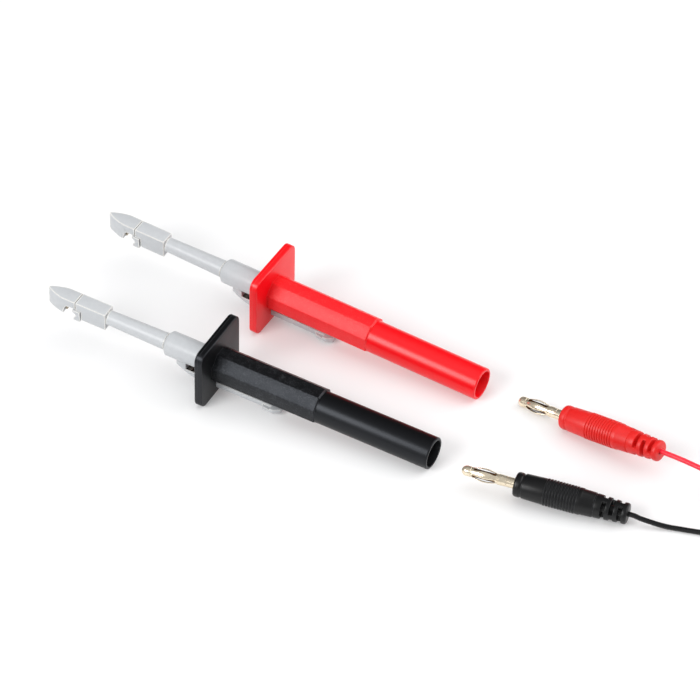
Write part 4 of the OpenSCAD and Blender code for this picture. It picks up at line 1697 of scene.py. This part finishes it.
@dataclass
class Handle:
    """Finger flange, eight-sided barrel and socket shroud, one moulding."""

    shroud_r: float = 5.9
    bore_r: float = 4.9
    shroud_len: float = 44.0
    shroud_depth: float = 34.0
    rim: float = 0.5
    lip_steps: Outline = ((0.0, 0.18), (-0.06, 0.06), (-0.2, 0.0))
    partition: float = 12.0
    stem_hole_r: float = 2.42
    barrel_len: float = 41.0
    barrel_w: float = 12.1
    barrel_h: float = 12.7
    barrel_lift: float = 0.3
    barrel_edge: float = 0.14
    facet: float = 3.6
    step: float = 0.45
    flange_t: float = 3.0
    flange_w: float = 26.4
    flange_up: float = 14.0
    flange_down: float = 11.6
    flange_r: float = 3.4
    flange_rim: float = 0.38
    parting_at: float = 0.4
    parting_w: float = 0.2
    parting_depth: float = 0.08
    chamber_r: float = 4.7
    rail_slot_half: float = 3.15
    rail_slot_down: float = 3.1
    fit: float = 0.02

    def flange_front(self) -> float:
        """The flange's nose side along the probe."""
        return -self.shroud_len - self.barrel_len - self.flange_t

    def at_rest(self) -> tuple[float, float]:
        """How the probe lies on its flange and its shroud's end.

        Returns:
            Its tilt in degrees, and the height of its mouth's axis.
        """
        reach = self.shroud_len + self.barrel_len - self.rim
        tilt = math.atan((self.flange_down - self.shroud_r) / reach)
        return math.degrees(tilt), rest_height(-self.rim, self.shroud_r, tilt)

    def barrel(self) -> bpy.types.Object:
        """Cuts a block to eight sides, breaks its edges and chamfers its rear end.

        Returns:
            The barrel.
        """
        w, h, lift = self.barrel_w / 2, self.barrel_h / 2, self.barrel_lift
        start, end = self.flange_front() + 1.0, -self.shroud_len
        piece = block("barrel", (start, -w, lift - h), (end, w, lift + h))
        round_edges(piece, self.facet * math.sqrt(2), 1, lengthwise, "WIDTH")
        round_edges(piece, self.step, 1, lambda at, way, turn: at.x > end - 0.01)
        round_edges(
            piece, self.barrel_edge, 2,
            lambda at, way, turn: abs(way.x) > 0.9 and turn > 30 and start + 2 < at.x < end - 2,
        )
        return piece

    def flange(self) -> bpy.types.Object:
        """Rounds a plate's corners and both its rims, and sinks the mould's parting line.

        Returns:
            The flange.
        """
        front, w = self.flange_front(), self.flange_w / 2
        rear = front + self.flange_t
        plate = block("flange", (front, -w, -self.flange_down), (rear, w, self.flange_up))
        round_edges(plate, self.flange_r, 8, lengthwise)
        round_edges(
            plate, self.flange_rim, 3,
            lambda at, way, turn: turn > 60 and min(abs(at.x - e) for e in (front, rear)) < 0.01,
        )
        low = front + self.parting_at * self.flange_t
        high = low + self.parting_w
        open_mesh(plate, "FACE")
        for x in (low, high):
            bpy.ops.mesh.select_all(action="SELECT")
            bpy.ops.mesh.bisect(plane_co=(x, 0, 0), plane_no=(1, 0, 0))
        bpy.ops.mesh.select_all(action="DESELECT")
        pick_faces(plate, lambda at, facing: low < at.x < high)
        bpy.ops.mesh.extrude_region_shrink_fatten(
            TRANSFORM_OT_shrink_fatten={"value": -self.parting_depth}
        )
        close_mesh()
        return plate

    def shroud(self) -> bpy.types.Object:
        """Turns the shroud with its rounded rim and its deep bore.

        Returns:
            The shroud.
        """
        r, b, rim = self.shroud_r, self.bore_r, self.rim
        front, depth = -self.shroud_len, -self.shroud_depth
        outline = [
            (front - 8, 0), (front - 8, r - 0.6), (front - 6, r),
            *[(-rim * (1 - sin), r - rim * (1 - cos)) for sin, cos in quarter(15)],
            *stepped(0, b, self.lip_steps),
            (depth + 0.4, b), (depth, b - 0.4), (depth, 0),
        ]
        return turned("shroud", outline, 96)

    def is_smooth(self, at: Vector, facing: Vector) -> bool:
        """Whether a face lies on the smooth flange or shroud, and not on the grained barrel.

        Args:
            at: The face's middle.
            facing: Its normal, which doesn't matter here.

        Returns:
            Whether it does.
        """
        edge, face = -self.shroud_len + 0.01, self.flange_front() + self.flange_t + 0.01
        root = at.x > edge - 1 and math.hypot(at.y, at.z) < self.shroud_r + 0.01
        return at.x > edge or at.x < face or root

    def model(self) -> bpy.types.Object:
        """Joins the three forms and opens the sleeve's chamber and slot.

        Returns:
            The handle, with its smooth faces as its second zone.
        """
        front, inner = self.flange_front(), -self.shroud_depth - self.partition
        low, half = self.barrel_lift - self.barrel_h / 2, self.rail_slot_half
        piece = meet(self.flange(), self.barrel(), Cut.ADD)
        meet(piece, self.shroud(), Cut.ADD)
        meet(piece, bar("chamber", front - 1, inner, self.chamber_r, sides=64), Cut.TAKE)
        stem = bar("stem_hole", inner - 1, -self.shroud_depth + 1, self.stem_hole_r)
        meet(piece, stem, Cut.TAKE)
        rear = front + self.flange_t + self.fit
        slot = block("slot", (front - 1, -half, low - self.rail_slot_down), (rear, half, low))
        meet(piece, slot, Cut.TAKE)
        piece.name = "handle_pattern"
        return remembered(zoned(smoothed(piece, 28), self.is_smooth))


@dataclass
class Stem:
    """The sizes that the grey pieces of a probe share, in millimetres from its mouth."""

    collar: float = -106.3
    shaft_end: float = -94.0
    shaft_r: float = 3.15
    seam: float = -143.3
    head_w: float = 5.6
    head_up: float = 3.1
    tang_len: float = 11.8
    rod_r: float = 0.9
    rod_lift: float = 1.1
    fit: float = 0.02


@dataclass
class SlidingSleeve(Stem):
    """Grey sleeve that slides in the handle: collar, ramp, rail under the barrel and thumb pad."""

    collar_r: float = 4.6
    collar_round: float = 1.05
    collar_curve: Outline = (
        (0.0, 1.0), (0.04, 0.86), (0.13, 0.74), (0.72, 0.14), (0.84, 0.05), (1.0, 0.0),
    )
    collar_end: float = -71.9
    web_rear: float = -89.98
    rail_w: float = 6.0
    rail_top: float = -6.7
    rail_wall: float = 0.4
    rail_floor: float = 0.6
    rail_bottom: float = -9.0
    rail_edge: float = 0.28
    ramp: float = -101.4
    ramp_top: float = -3.25
    ramp_web: float = 3.8
    pad: float = -66.5
    pad_len: float = 7.5
    pad_w: float = 9.4
    pad_lip: float = 1.5
    pad_hollow: float = 0.45
    pad_edge: float = 0.22
    seat_r: float = 4.05

    def collar_body(self) -> bpy.types.Object:
        """Turns the collar with its rounded front.

        Returns:
            The collar.
        """
        x, r, c, end = self.collar, self.collar_r, self.collar_round, self.collar_end
        arc = [(x + c * along, r - c * down) for along, down in self.collar_curve]
        return turned("collar", [(x, 0), *arc, (end - 0.3, r), (end, r - 0.3), (end, 0)], 80)

    def rail(self) -> bpy.types.Object:
        """Pulls the ramp and the rail from one side outline, and sinks the rail's channel.

        Returns:
            The rail.
        """
        x, low, top = self.ramp, self.rail_bottom, self.rail_top
        rear, web, half = self.pad + 2, self.ramp + self.ramp_web, self.rail_w / 2
        outline = [
            (x, self.ramp_top), (x, -self.collar_r - 1), (x + 3.1, top - 0.9), (x + 6.2, low),
            (rear, low), (rear, top), (web, top), (web, self.ramp_top),
        ]
        piece = pulled("rail", outline, Along.Y, -half, half)
        round_edges(
            piece, self.rail_edge, 3,
            lambda at, way, turn: turn > 20 and at.x < rear - 0.1 and at.z < -4,
        )
        inner = half - self.rail_wall
        start, end = x + 5.5, self.pad - 3
        channel = block("channel", (start, -inner, low + self.rail_floor), (end, inner, top + 1))
        meet(piece, channel, Cut.TAKE)
        shallow = block("shallow", (web + 0.1, -inner, top - 0.6), (start + 0.1, inner, top + 1))
        return meet(piece, shallow, Cut.TAKE)

    def thumb_pad(self) -> bpy.types.Object:
        """Pulls the pad from its plan, thins its front and hollows its face.

        Returns:
            The pad.
        """
        x, w, low, length = self.pad, self.pad_w, self.rail_bottom, self.pad_len
        ridge, step, rear = x + 0.68 * length, x + 0.5 * length, x + length
        half = [(x, self.rail_w / 2), (x + 1, 0.43 * w), (ridge, w / 2), (rear, 0.33 * w)]
        plan = [*half, *[(a, -b) for a, b in reversed(half)]]
        piece = pulled("pad", plan, Along.Z, low, self.rail_top)
        for side in (-1, 1):
            inner, outer = sorted((side * self.rail_w / 2, side * (self.rail_w / 2 + w)))
            thin = block("thin", (x - 1, inner, low + self.pad_lip), (step, outer, low + 6))
            meet(piece, thin, Cut.TAKE)
        hollow_r = length**2 / (12 * self.pad_hollow)
        lay_down_tools()
        bpy.ops.mesh.primitive_cylinder_add(
            vertices=160, radius=hollow_r, depth=w + 2,
            location=(ridge, 0, low + self.pad_hollow - hollow_r), rotation=(math.pi / 2, 0, 0),
        )
        apply_place()
        meet(piece, bpy.context.object, Cut.TAKE)
        round_edges(piece, self.pad_edge, 2, sharper(35))
        return piece

    def model(self) -> bpy.types.Object:
        """Joins the forms and opens the bores for the shaft, the rod and the spring.

        Returns:
            The sleeve, with its rail's channel as its second zone, which is painted dark as shade.
        """
        shaft, web = self.shaft_end, self.web_rear
        piece = meet(self.collar_body(), self.rail(), Cut.ADD)
        meet(piece, self.thumb_pad(), Cut.ADD)
        for bore in (
            ("shaft_bore", self.collar - 1, shaft + self.fit, self.shaft_r + self.fit, 0.0, 64),
            ("rod_bore", shaft - 0.5, web + 1, self.rod_r + 0.2, self.rod_lift, 48),
            ("spring_seat", web, self.collar_end + 1, self.seat_r, 0.0, 64),
        ):
            meet(piece, bar(*bore), Cut.TAKE)
        piece.name = "sleeve_pattern"
        return remembered(zoned(smoothed(piece, 30), self.in_channel))

    def in_channel(self, at: Vector, facing: Vector) -> bool:
        """Whether a face lies inside the rail's channel, which is painted dark as shade.

        Args:
            at: The face's middle.
            facing: Its normal.

        Returns:
            Whether it does.
        """
        beside = abs(at.y) < self.rail_w / 2 - self.rail_wall + self.fit
        inside = self.rail_bottom + 0.3 < at.z < self.rail_top - 0.05
        between = self.ramp + self.ramp_web + 0.05 < at.x < self.pad - 2.95
        return beside and inside and between and facing.z > -0.2


@dataclass
class Nose(Stem):
    """Grey nose on the sleeve: tapered shaft, box head and cross jaw."""

    shaft_groove: float = 0.22
    neck_r: float = 2.7
    head_rear: float = -130.8
    head_edge: float = 0.13
    gap: float = 0.3
    head_down: float = 4.2
    cavity_half: float = 1.65
    cavity_low: float = -0.3
    cavity_top: float = 2.5
    jaw_front: float = -144.25
    jaw_rear: float = -141.1
    jaw_gap: float = 0.35
    jaw_top: float = -0.35
    jaw_w: float = 6.7
    jaw_h: float = 4.5
    jaw_notch: float = 1.5
    jaw_edge: float = 0.06
    peg_r: float = 0.8
    peg_len: float = 2.5

    def shaft(self) -> bpy.types.Object:
        """Turns the tapered shaft, with its groove where it enters the collar.

        Returns:
            The shaft.
        """
        back, rear, r, mouth = self.head_rear, self.shaft_end, self.shaft_r, self.collar
        neck, sunk = self.neck_r, self.shaft_r - self.shaft_groove
        outline = [
            (back - 1, 0), (back - 1, neck - 0.25), (back + 0.3, neck - 0.25), (back + 0.4, neck),
            (mouth - 1, r), (mouth - 0.5, r), (mouth - 0.42, sunk), (mouth + 0.3, sunk),
            (mouth + 0.3, r), (rear, r), (rear, 0),
        ]
        return turned("shaft", outline, 72)

    def is_long_edge(self, at: Vector, way: Vector, turn: float) -> bool:
        """Whether an edge is one of the head's long corners.

        Args:
            at: The edge's middle.
            way: Its direction.
            turn: The degrees between its faces.

        Returns:
            Whether it is.
        """
        outside = abs(at.y) > self.head_w / 2 - 0.01 and abs(at.z) > 1
        return lengthwise(at, way, turn) and turn > 50 and outside and at.x < self.head_rear - 0.6

    def barrel(self) -> bpy.types.Object:
        """Joins the box head to the shaft, with its cavity for the hook.

        Returns:
            The nose.
        """
        back, low, w, h = self.head_rear, self.cavity_low, self.head_w / 2, self.cavity_half
        front, under = self.seam + self.gap, self.jaw_rear + self.jaw_gap
        outline = [
            (front, self.head_up), (front, low), (under, low), (under, -self.head_down),
            (back, -self.head_down), (back, self.head_up),
        ]
        head = pulled("head", outline, Along.Y, -w, w)
        round_edges(head, 0.16, 2, lambda at, way, turn: at.x > back - 0.01)
        round_edges(head, self.head_edge, 2, self.is_long_edge)
        piece = meet(head, self.shaft(), Cut.ADD)
        rear = self.seam + self.tang_len + 0.15
        cavity = block("cavity", (self.seam - 1, -h, low), (rear, h, self.cavity_top))
        meet(piece, cavity, Cut.TAKE)
        rod = bar("rod_bore", self.seam, self.shaft_end + 1, self.rod_r + 0.1, self.rod_lift)
        meet(piece, rod, Cut.TAKE)
        x, peg_z = self.jaw_rear, self.jaw_top - self.jaw_h / 2
        hole = bar("peg_hole", x - 1, x + self.peg_len, self.peg_r + self.fit, peg_z)
        meet(piece, hole, Cut.TAKE)
        piece.name = "nose_pattern"
        return remembered(smoothed(piece, 30))

    def jaw(self) -> bpy.types.Object:
        """Pulls the notched cross jaw from its side outline and joins its peg.

        Returns:
            The jaw.
        """
        front, rear, top, h = self.jaw_front, self.jaw_rear, self.jaw_top, self.jaw_h
        outline = [
            (front, top), (rear, top), (rear, top - h), (front + 0.6, top - h),
            (front + 0.4, top - 0.85 * h), (front + self.jaw_notch, top - 0.45 * h),
            (front, top - 0.15 * h),
        ]
        piece = pulled("jaw", outline, Along.Y, -self.jaw_w / 2, self.jaw_w / 2)
        round_edges(piece, self.jaw_edge, 2, sharper(30))
        peg = bar("peg", rear - 1, rear + self.peg_len - self.fit, self.peg_r, top - h / 2)
        meet(piece, peg, Cut.ADD)
        piece.name = "jaw_pattern"
        return remembered(smoothed(piece, 30))


@dataclass
class Hook(Stem):
    """Grey pointed beak with its barb and throat, and the tang that guides it."""

    tip: float = -155.6
    taper: float = 7.6
    fullness: float = 1.6
    point_half: float = 0.3
    plan_steps: int = 14
    down: float = 4.4
    barb_at: float = 7.35
    barb_down: float = 4.1
    throat_len: float = 1.95
    throat_top: float = 0.15
    edge: float = 0.1
    tang_w: float = 3.0
    rod_seat: float = 0.62
    contact_t: float = 0.6
    contact_foot: float = 0.9

    def half_width(self, s: float) -> float:
        """Half the beak's width at a distance behind its tip."""
        growth = 1 - (1 - s / self.taper) ** self.fullness
        return self.point_half + (self.head_w / 2 - self.point_half) * growth

    def side_outline(self) -> list[tuple[float, float]]:
        """The beak from the side: blunt tip, barb and round throat.

        Returns:
            Its corners as (x, z).
        """
        tip, rear, up = self.tip, self.seam - self.fit, self.head_up
        throat = tip + self.barb_at + self.throat_len
        rise = self.barb_down - self.throat_top
        return [
            (rear, up), (tip + 0.2, up), (tip, up - 0.15), (tip, 0.4 - self.down),
            (tip + 0.3, -self.down),
            *[
                (throat - self.throat_len * cos, rise * sin - self.barb_down)
                for sin, cos in quarter(9)
            ],
            (rear, -self.throat_top),
        ]

    def plan_outline(self) -> list[tuple[float, float]]:
        """The beak from above: a point that swells to the head's width.

        Returns:
            Its corners as (x, y).
        """
        places = [self.taper * i / self.plan_steps for i in range(self.plan_steps + 1)]
        side = [*[(self.tip + s, self.half_width(s)) for s in places], (self.seam, self.head_w / 2)]
        return [*side, *[(x, -y) for x, y in reversed(side)]]

    def model(self) -> bpy.types.Object:
        """Shares the two outlines, joins the tang and opens the rod's and contact's seats.

        Returns:
            The beak.
        """
        seam, w, half, fit = self.seam, self.head_w / 2, self.tang_w / 2, self.fit
        rear, top = seam + self.tang_len, 2 * self.rod_lift + self.throat_top
        piece = pulled("beak", self.side_outline(), Along.Y, -w, w)
        plan = pulled("plan", self.plan_outline(), Along.Z, -self.down - 1, self.head_up + 1)
        meet(piece, plan, Cut.SHARE)
        round_edges(
            piece, self.edge, 2,
            lambda at, way, turn: turn > 42 and self.tip + 0.5 < at.x < seam - 0.1,
        )
        tang = block("tang", (seam - 1, -half, -self.throat_top), (rear, half, top))
        meet(piece, tang, Cut.ADD)
        strip = self.tip + self.barb_at + self.contact_t / 2
        foot = self.contact_foot - self.barb_down
        rod = bar("rod_bore", strip - self.rod_seat, rear + 1, self.rod_r + fit, self.rod_lift)
        meet(piece, rod, Cut.TAKE)
        low = (strip - fit, -half - fit, foot - fit)
        high = (strip + self.contact_t + fit, half + fit, top + fit)
        meet(piece, block("seat", low, high), Cut.TAKE)
        piece.name = "beak_pattern"
        return remembered(smoothed(piece, 30))


@dataclass
class ReturnSpring:
    """The spring round the rod, from the washer on the sleeve to the handle's partition."""

    front: float = -89.038
    rear: float = -46.32
    radius: float = 3.65
    wire_r: float = 0.3
    turns: int = 9
    per_turn: int = 24
    travel: float = 9.5

    def model(self) -> bpy.types.Object:
        """Sweeps a round section about the X axis, turn upon turn at one place along it.

        Returns:
            The spring.
        """
        lay_down_tools()
        bpy.ops.mesh.primitive_circle_add(
            vertices=10, radius=self.wire_r, fill_type="NGON",
            location=(self.front, 0, self.radius), rotation=(math.pi / 2, 0, 0),
        )
        piece = bpy.context.object
        piece.name = "spring_pattern"
        apply_place()
        open_mesh(piece, "FACE")
        bpy.ops.mesh.select_all(action="SELECT")
        bpy.ops.mesh.spin(
            steps=self.per_turn * self.turns, angle=math.tau * self.turns,
            center=(0, 0, 0), axis=(1, 0, 0), use_auto_merge=False,
        )
        bpy.ops.object.mode_set(mode="OBJECT")
        return piece

    def squash(self, piece: bpy.types.Object, place: Placement) -> None:
        """Gives the spring, in its place, a mesh of its own.

        Args:
            piece: The spring, in its place.
            place: Where its probe lies.
        """
        place.way()
        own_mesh(piece)


@dataclass
class Probe:
    """One probe: handle on the set's own body, and sleeve, nose, hook and spring."""

    colour: Colour
    place: Placement

    def build(
        self, patterns: dict[str, bpy.types.Object], spring: ReturnSpring, finishes: Finishes
    ) -> None:
        """Puts every piece of the probe in its place.

        Args:
            patterns: The modelled pieces by name.
            spring: The spring's sizes.
            finishes: The materials.
        """
        c = self.colour.value
        sleeve, shells = f"{c}_sleeve", finishes.among(f"{c}_grained", f"{c}_smooth")
        # The sleeve's second material is a painted shade for the inside of its rail channel.
        slide, nylon = finishes.among("grey_slide", "grey_painted_shade"), finishes.among("grey_nylon")
        for pattern, body, node, slot, finish in (
            ("handle", "set", "handle", f"{c}_shell", shells),
            ("sleeve", sleeve, "slide_sleeve", "grey_nose", slide),
            ("nose", sleeve, "nose_barrel", "grey_nose", nylon),
            ("jaw", sleeve, "clamp_jaw", "grey_nose", nylon),
            ("beak", "set", "hook_beak", "grey_nose", nylon),
        ):
            name = f"{c}_{pattern}_moulding"
            put(patterns[pattern], name, self.place, body, f"{c}_{node}", finish)
        steel, name = finishes.among("spring_wire"), f"{c}_return_spring"
        coil = patterns["spring"]
        wire = put(coil, f"{c}_spring_coil", self.place, "set", name, steel)
        spring.squash(wire, self.place)
        for node, look in (
            ("hook_contact", "contact_strip"),
            ("contact_rod", "inner_plating"),
            ("spring_washer", "washer_steel"),
            ("socket_contact", "inner_plating"),
            ("lock_nut", "bare_brass"),
        ):
            bare(f"{c}_{node}", finishes[look])
        LOG.info("%s probe in place", c)


# ---- The set ----

PLUG, HANDLE = Plug(), Handle()
RIBS_DIP, RIBS_Z = PLUG.on_ribs()
NOSE_DIP, NOSE_Z = PLUG.on_nose()
PROBE_TILT, MOUTH_Z = HANDLE.at_rest()

LEADS = [
    Lead(
        Colour.BLACK,
        near=Placement((54.8, -23.7, RIBS_Z), 9.6, RIBS_DIP),
        far=Placement((249.9, -1.0, RIBS_Z), 180, RIBS_DIP),
        route=[
            (0.1175, -0.0131, 0.0029), (0.121, -0.0125, 0.0023), (0.1244, -0.0117, 0.0016),
            (0.1277, -0.0107, 0.0011), (0.131, -0.0097, 0.0009), (0.1343, -0.0089, 0.0009),
            (0.1373, -0.0081, 0.0009), (0.142, -0.0069, 0.0009), (0.147, -0.0057, 0.0009),
            (0.152, -0.0045, 0.0009), (0.157, -0.0033, 0.001), (0.161, -0.0023, 0.0012),
            (0.165, -0.0014, 0.0014),
        ],
        coil=Coil((0.172, -0.0142), start=100, way=-1, turns=15 + 10 / 360),
        tail=[
            (0.177, -0.0002, 0.0079), (0.18, -0.0004, 0.007), (0.183, -0.0007, 0.0056),
            (0.186, -0.0009, 0.0042),
        ],
        tie_turn=-90,
    ),
    Lead(
        Colour.RED,
        near=Placement((54.1, 20.0, NOSE_Z), -7.2, NOSE_DIP, 90),
        far=Placement((243.1, 11.5, RIBS_Z), 180, RIBS_DIP),
        route=[
            (0.116, 0.0122, 0.0101), (0.119, 0.0119, 0.0103), (0.122, 0.0116, 0.0104),
            (0.126, 0.0112, 0.0104), (0.13, 0.0109, 0.0102), (0.134, 0.0104, 0.0095),
            (0.137, 0.01, 0.0084), (0.14, 0.0096, 0.0069), (0.143, 0.0093, 0.0051),
            (0.146, 0.0091, 0.0033), (0.149, 0.0089, 0.0019), (0.153, 0.0088, 0.0011),
            (0.157, 0.0088, 0.001), (0.161, 0.0091, 0.0012), (0.164, 0.0095, 0.0014),
        ],
        coil=Coil((0.165, 0.024), start=-80, way=1, turns=15 - 10 / 360),
        tail=[
            (0.17, 0.0102, 0.0079), (0.173, 0.0107, 0.007), (0.176, 0.0112, 0.0056),
            (0.179, 0.0115, 0.0042),
        ],
        tie_turn=90,
    ),
]
PROBES = [
    Probe(Colour.BLACK, Placement((42.0, -20.3, MOUTH_Z), 0, PROBE_TILT)),
    Probe(Colour.RED, Placement((41.0, 17.3, MOUTH_Z), -2, PROBE_TILT)),
]


def main() -> None:
    """Builds the camera and the leads, then the probes, then the floor and the light."""
    logging.basicConfig(level=logging.INFO, format="%(name)s: %(message)s")
    studio = Studio()
    studio.camera()
    finishes = Finishes(Effects())
    PLUG.model()
    for lead in LEADS:
        lead.build(PLUG, finishes)
    nose, spring = Nose(), ReturnSpring()
    patterns = {
        "handle": HANDLE.model(), "sleeve": SlidingSleeve().model(), "nose": nose.barrel(),
        "jaw": nose.jaw(), "beak": Hook().model(), "spring": spring.model(),
    }
    for probe in PROBES:
        probe.build(patterns, spring, finishes)
    for pattern in [*patterns.values(), *PLUG.patterns.values()]:
        bpy.data.objects.remove(pattern)
    studio.build()


if __name__ == "__main__":
    main()
